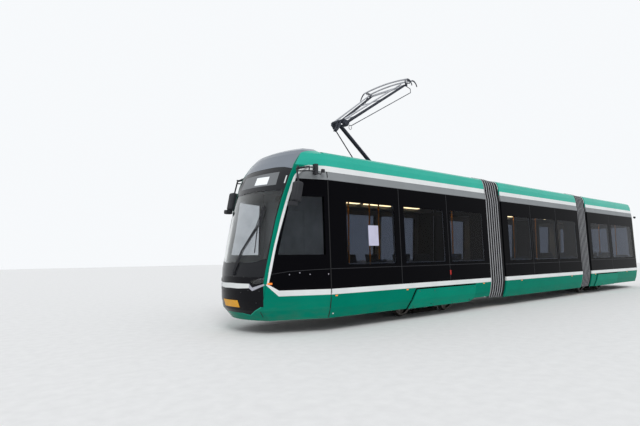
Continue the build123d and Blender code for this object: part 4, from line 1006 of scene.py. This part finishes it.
brackets = Shape()
for side in (-1, 1):
    side_box(brackets, side, (1.325, 1.06, 2.965), (1.4, 1.15, 3.175), 0.02)
    side_box(brackets, side, (1.485, 1.12, 3.02), (1.55, 1.17, 3.085), 0.012)
    side_box(brackets, side, (0.72, 1.06, 2.335), (0.88, 1.18, 2.43), 0.035)
    for z in (3.105, 3.035):
        side_tube(brackets, side, [(1.36, 1.12, z), (1.15, 1.115, z - 0.012),
                                   (0.97, 1.05, z - 0.03)], 0.013)
    side_tube(brackets, side, [(1.38, 1.12, 3.01), (1.47, 1.13, 2.98), (1.5, 1.14, 3.05)], 0.011)
    side_tube(brackets, side, [(1.2, 1.115, 3.1), (1.2, 1.115, 3.02)], 0.012)
brackets.made("mirror_brackets", "mirror", "mirror_black")


# Seats: a moulded shell on its foot, with padded covers on the pan and the back

BOTH, LEFT, MIDDLE = (-1, 1), (-1,), (0,)
SEATS = {
    # car: (from the datum, sides, floor level, direction that it faces)
    "front": [(4.15, BOTH, 0.7, 1), (4.95, BOTH, 0.7, 1), (5.75, BOTH, 0.7, -1),
              (2.9, LEFT, 0.4, -1), (1.08, MIDDLE, 0.4, -1)],
    "middle": [(8.5, BOTH, 0.4, 1), (9.4, LEFT, 0.4, -1), (11.5, LEFT, 0.4, 1),
               (12.4, BOTH, 0.4, -1)],
    "rear": [(14.3, BOTH, 0.7, 1), (15.1, BOTH, 0.7, 1), (15.9, BOTH, 0.7, -1),
             (17.75, LEFT, 0.4, -1)],
}
SEAT_WIDTH, DRIVER_SEAT_WIDTH = 0.44, 0.46
SEAT_OUTER, SEAT_LENGTH = 1.04, 0.49
PAN_HEIGHT, RAISED_PAN_HEIGHT = 0.43, 0.24
SEAT_PROFILE = [
    # distance ahead of the back, height over the pan, from the back's top to the pan's front edge
    (-0.024, 0.516), (0.013, 0.36), (0.057, 0.18), (0.09, 0.06), (0.125, 0.01), (0.19, -0.006),
    (0.32, -0.008), (0.44, -0.004), (0.47, -0.022),
]


def seat_line(distance, floor, facing):
    """Side view of the sitting surface. Seats on the raised floor have a lower foot."""
    pan = floor + (RAISED_PAN_HEIGHT if floor > 0.6 else PAN_HEIGHT)
    back = at(distance) if facing == 1 else at(distance + SEAT_LENGTH)
    return [(back + facing * ahead, pan + rise) for ahead, rise in SEAT_PROFILE]


def seat_shell(shape, line, y_mid, half, facing, floor):
    """Moulded shell along a seat's line, on its foot."""
    grids = []
    for lift in (0.0, -0.016):
        grid = []
        for index, (x, z) in enumerate(line):
            a, b = line[max(index - 1, 0)], line[min(index + 1, len(line) - 1)]
            along = Vector((b[0] - a[0], 0, b[1] - a[1])).normalized()
            normal = Vector((-along.z, 0, along.x)) * facing
            row = []
            for share in (-1.0, -0.93, -0.6, -0.2, 0.2, 0.6, 0.93, 1.0):
                hollow = 0.02 * share * share - 0.02
                corner = 0.02 if index in (0, len(line) - 1) and abs(share) == 1.0 else 0.0
                place = Vector((x, y_mid + share * half, z)) + normal * (hollow + lift)
                row.append(place - along * corner * (-1 if index == 0 else 1))
            grid.append(row)
        grids.append(grid)
    shape.skin(*grids)
    foot_low, foot_high = sorted((line[4][0], line[-1][0] - facing * 0.14))
    shape.box((foot_low, y_mid - half + 0.13, floor),
              (foot_high, y_mid + half - 0.13, line[5][1] - 0.03), 0.012)


def pad(shape, corner, across, along, thick, normal, steps=10):
    """Crowned cushion on a rectangle, whose sides pull in between its corners."""
    shares = [-1 + 2 * k / steps for k in range(steps + 1)]
    top, bottom = [], []
    for u in shares:
        row_top, row_bottom = [], []
        for v in shares:
            pull_u = u * (1 - 0.035 * (1 - v * v))
            pull_v = v * (1 - 0.035 * (1 - u * u))
            place = corner + across * (pull_u + 1) / 2 + along * (pull_v + 1) / 2
            edge = (1 - u ** 6) * (1 - v ** 6)
            crown = 0.3 + 0.7 * edge ** 0.4 * (1 - 0.25 * (u * u + v * v) / 2)
            channel = 1 - 0.2 * math.exp(-((abs(v) - 0.45) / 0.05) ** 2)
            row_top.append(place + normal * thick * crown * channel)
            row_bottom.append(place)
        top.append(row_top)
        bottom.append(row_bottom)
    shape.skin(top, bottom)


def seat_pads(shape, line, y_mid, half, facing):
    """Covers on the back and the pan, in from the shell's edges."""
    half -= 0.045
    for first, last, room in ((0, 3, 0.035), (5, 7, 0.02)):
        (x0, z0), (x1, z1) = line[first], line[last]
        along = Vector((x1 - x0, 0, z1 - z0))
        normal = Vector((-along.z, 0, along.x)).normalized() * facing
        unit = along.normalized()
        start = Vector((x0, y_mid - half, z0)) + unit * room - normal * 0.014
        pad(shape, start, Vector((0, 2 * half, 0)), along - unit * 2 * room, 0.026, normal)


for car, body in BODY_CARS:
    shells, pads = Shape(), Shape()
    for distance, sides, level, facing in SEATS[car]:
        line = seat_line(distance, level, facing)
        for side in sides:
            half = (SEAT_WIDTH if side else DRIVER_SEAT_WIDTH) / 2
            seat = line, side * (SEAT_OUTER - half), half, facing
            seat_shell(shells, *seat, level)
            seat_pads(pads, *seat)
    shell_piece = shells.made(f"{car}_seat_shells", "seat", "seat_shell", body, 40)
    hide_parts(f"{car}_seats")
    pad_piece = pads.made(f"{car}_seat_pads", "fabric", "seat_shell", body, 60)


# Roof units: louvres on one half of each lid and two fan guards on the other

ROOF_UNITS = {
    # car: (start from the datum, length, half width, height above the deck)
    "front": [(2.05, 1.25, 0.62, 0.26), (5.15, 1.5, 0.62, 0.28)],
    "middle": [(8.7, 1.7, 0.62, 0.29), (10.9, 1.6, 0.62, 0.25)],
    "rear": [(14.5, 1.5, 0.62, 0.28), (16.4, 1.3, 0.62, 0.25)],
}

FAN_RINGS, FAN_Y, FAN_SIDES = (0.225, 0.15, 0.075), 0.27, 20
FAN_PLANE, FAN_LIFT = (Vector((1, 0, 0)), Vector((0, 1, 0))), Vector((0, 0, 0.002))
LOUVRE_PITCH, LOUVRE_WIDTH, LID_MARGIN = 0.055, 0.026, 0.06

for car, body in BODY_CARS:
    guards = Shape()
    for start, length, half, height in ROOF_UNITS[car]:
        top = WALL_TOP + height
        rim = half - 0.08
        for y in (-rim, rim):
            guards.box((at(start + LID_MARGIN), y - 0.012, top - 0.004),
                       (at(start + length - LID_MARGIN), y + 0.012, top + 0.006))
        for distance in (start + LID_MARGIN, start + length / 2, start + length - LID_MARGIN):
            guards.box((at(distance) - 0.012, 0.012 - rim, top - 0.004),
                       (at(distance) + 0.012, rim - 0.012, top + 0.006))
        for k in range(int((length / 2 - 0.2) / LOUVRE_PITCH)):
            x = at(start + LID_MARGIN + 0.07 + LOUVRE_PITCH * k)
            guards.box((x, 0.05 - rim, top - 0.004), (x + LOUVRE_WIDTH, rim - 0.05, top + 0.012))
        for y in (-FAN_Y, FAN_Y):
            hub = Vector((at(start + 0.75 * length - 0.015), y, top + 0.008))
            for radius in FAN_RINGS:
                circle = ring(hub + FAN_LIFT, *FAN_PLANE, radius, FAN_SIDES)
                guards.tube(circle + circle[:1], 0.009, 6)
            for end in ring(hub, *FAN_PLANE, FAN_RINGS[0], 6)[:3]:
                guards.tube([2 * hub - end, end], 0.007, 6)
    guards.made(f"{car}_roof_unit_guards", "dark_steel", "roof_grey", body)

cameras = Shape()
wall_y = half_width(2.91)
for side in (-1, 1):
    side_box(cameras, side, (19.04, wall_y - 0.02, 2.875), (19.14, wall_y + 0.05, 2.945), 0.014)
    side_tube(cameras, side, [(19.07, wall_y + 0.028, z) for z in (2.9, 2.853)], 0.014)
cameras.made("tail_cameras", "mirror", "mirror_black", "rear_car")


# Lights on the ceilings

LIGHT_Y, LIGHT_PITCH, LIGHT_LENGTH, LIGHT_HALF = 0.55, 1.2, 1.0, 0.05

for car, body in BODY_CARS:
    start, end = CAR_ENDS[car]
    lights = Shape()
    for y in (-LIGHT_Y, LIGHT_Y):
        for k in range(int((end - start - 0.5) / LIGHT_PITCH)):
            x = at(start + 0.35 + LIGHT_PITCH * k)
            lights.box((x, y - LIGHT_HALF, 2.716), (x + LIGHT_LENGTH, y + LIGHT_HALF, 2.739), 0.008)
    lights.made(f"{car}_ceiling_lights", "ceiling_light", "interior_grey", body, 30)


# Floor, world and light

floor_shape = Shape()
floor_shape.box((-60, -60, -0.06), (60, 60, -0.0005))
floor = floor_shape.made("studio_floor", "studio", None, None)

world = bpy.data.worlds.new("studio")
world.use_nodes = True
bpy.context.scene.world = world
sky = Nodes(world.node_tree)
rays = sky.node("LightPath").outputs
seen = sky.math("MAXIMUM", rays["Is Camera Ray"], rays["Is Glossy Ray"])
seen = sky.math("MAXIMUM", seen, rays["Is Transmission Ray"])
background = sky.tree.nodes["Background"]
sky.put(background.inputs["Strength"], sky.span(seen, 0.0, 1.0, 0.72, 1.0))
background.inputs["Color"].default_value = (0.93, 0.95, 0.97, 1.0)

sun = bpy.data.lights.new("sun", "SUN")
sun.energy = 1.3
sun.angle = math.radians(25)
sun_object = bpy.data.objects.new("sun", sun)
sun_object.rotation_euler = (math.radians(38), math.radians(-28), 0.0)
bpy.context.scene.collection.objects.link(sun_object)
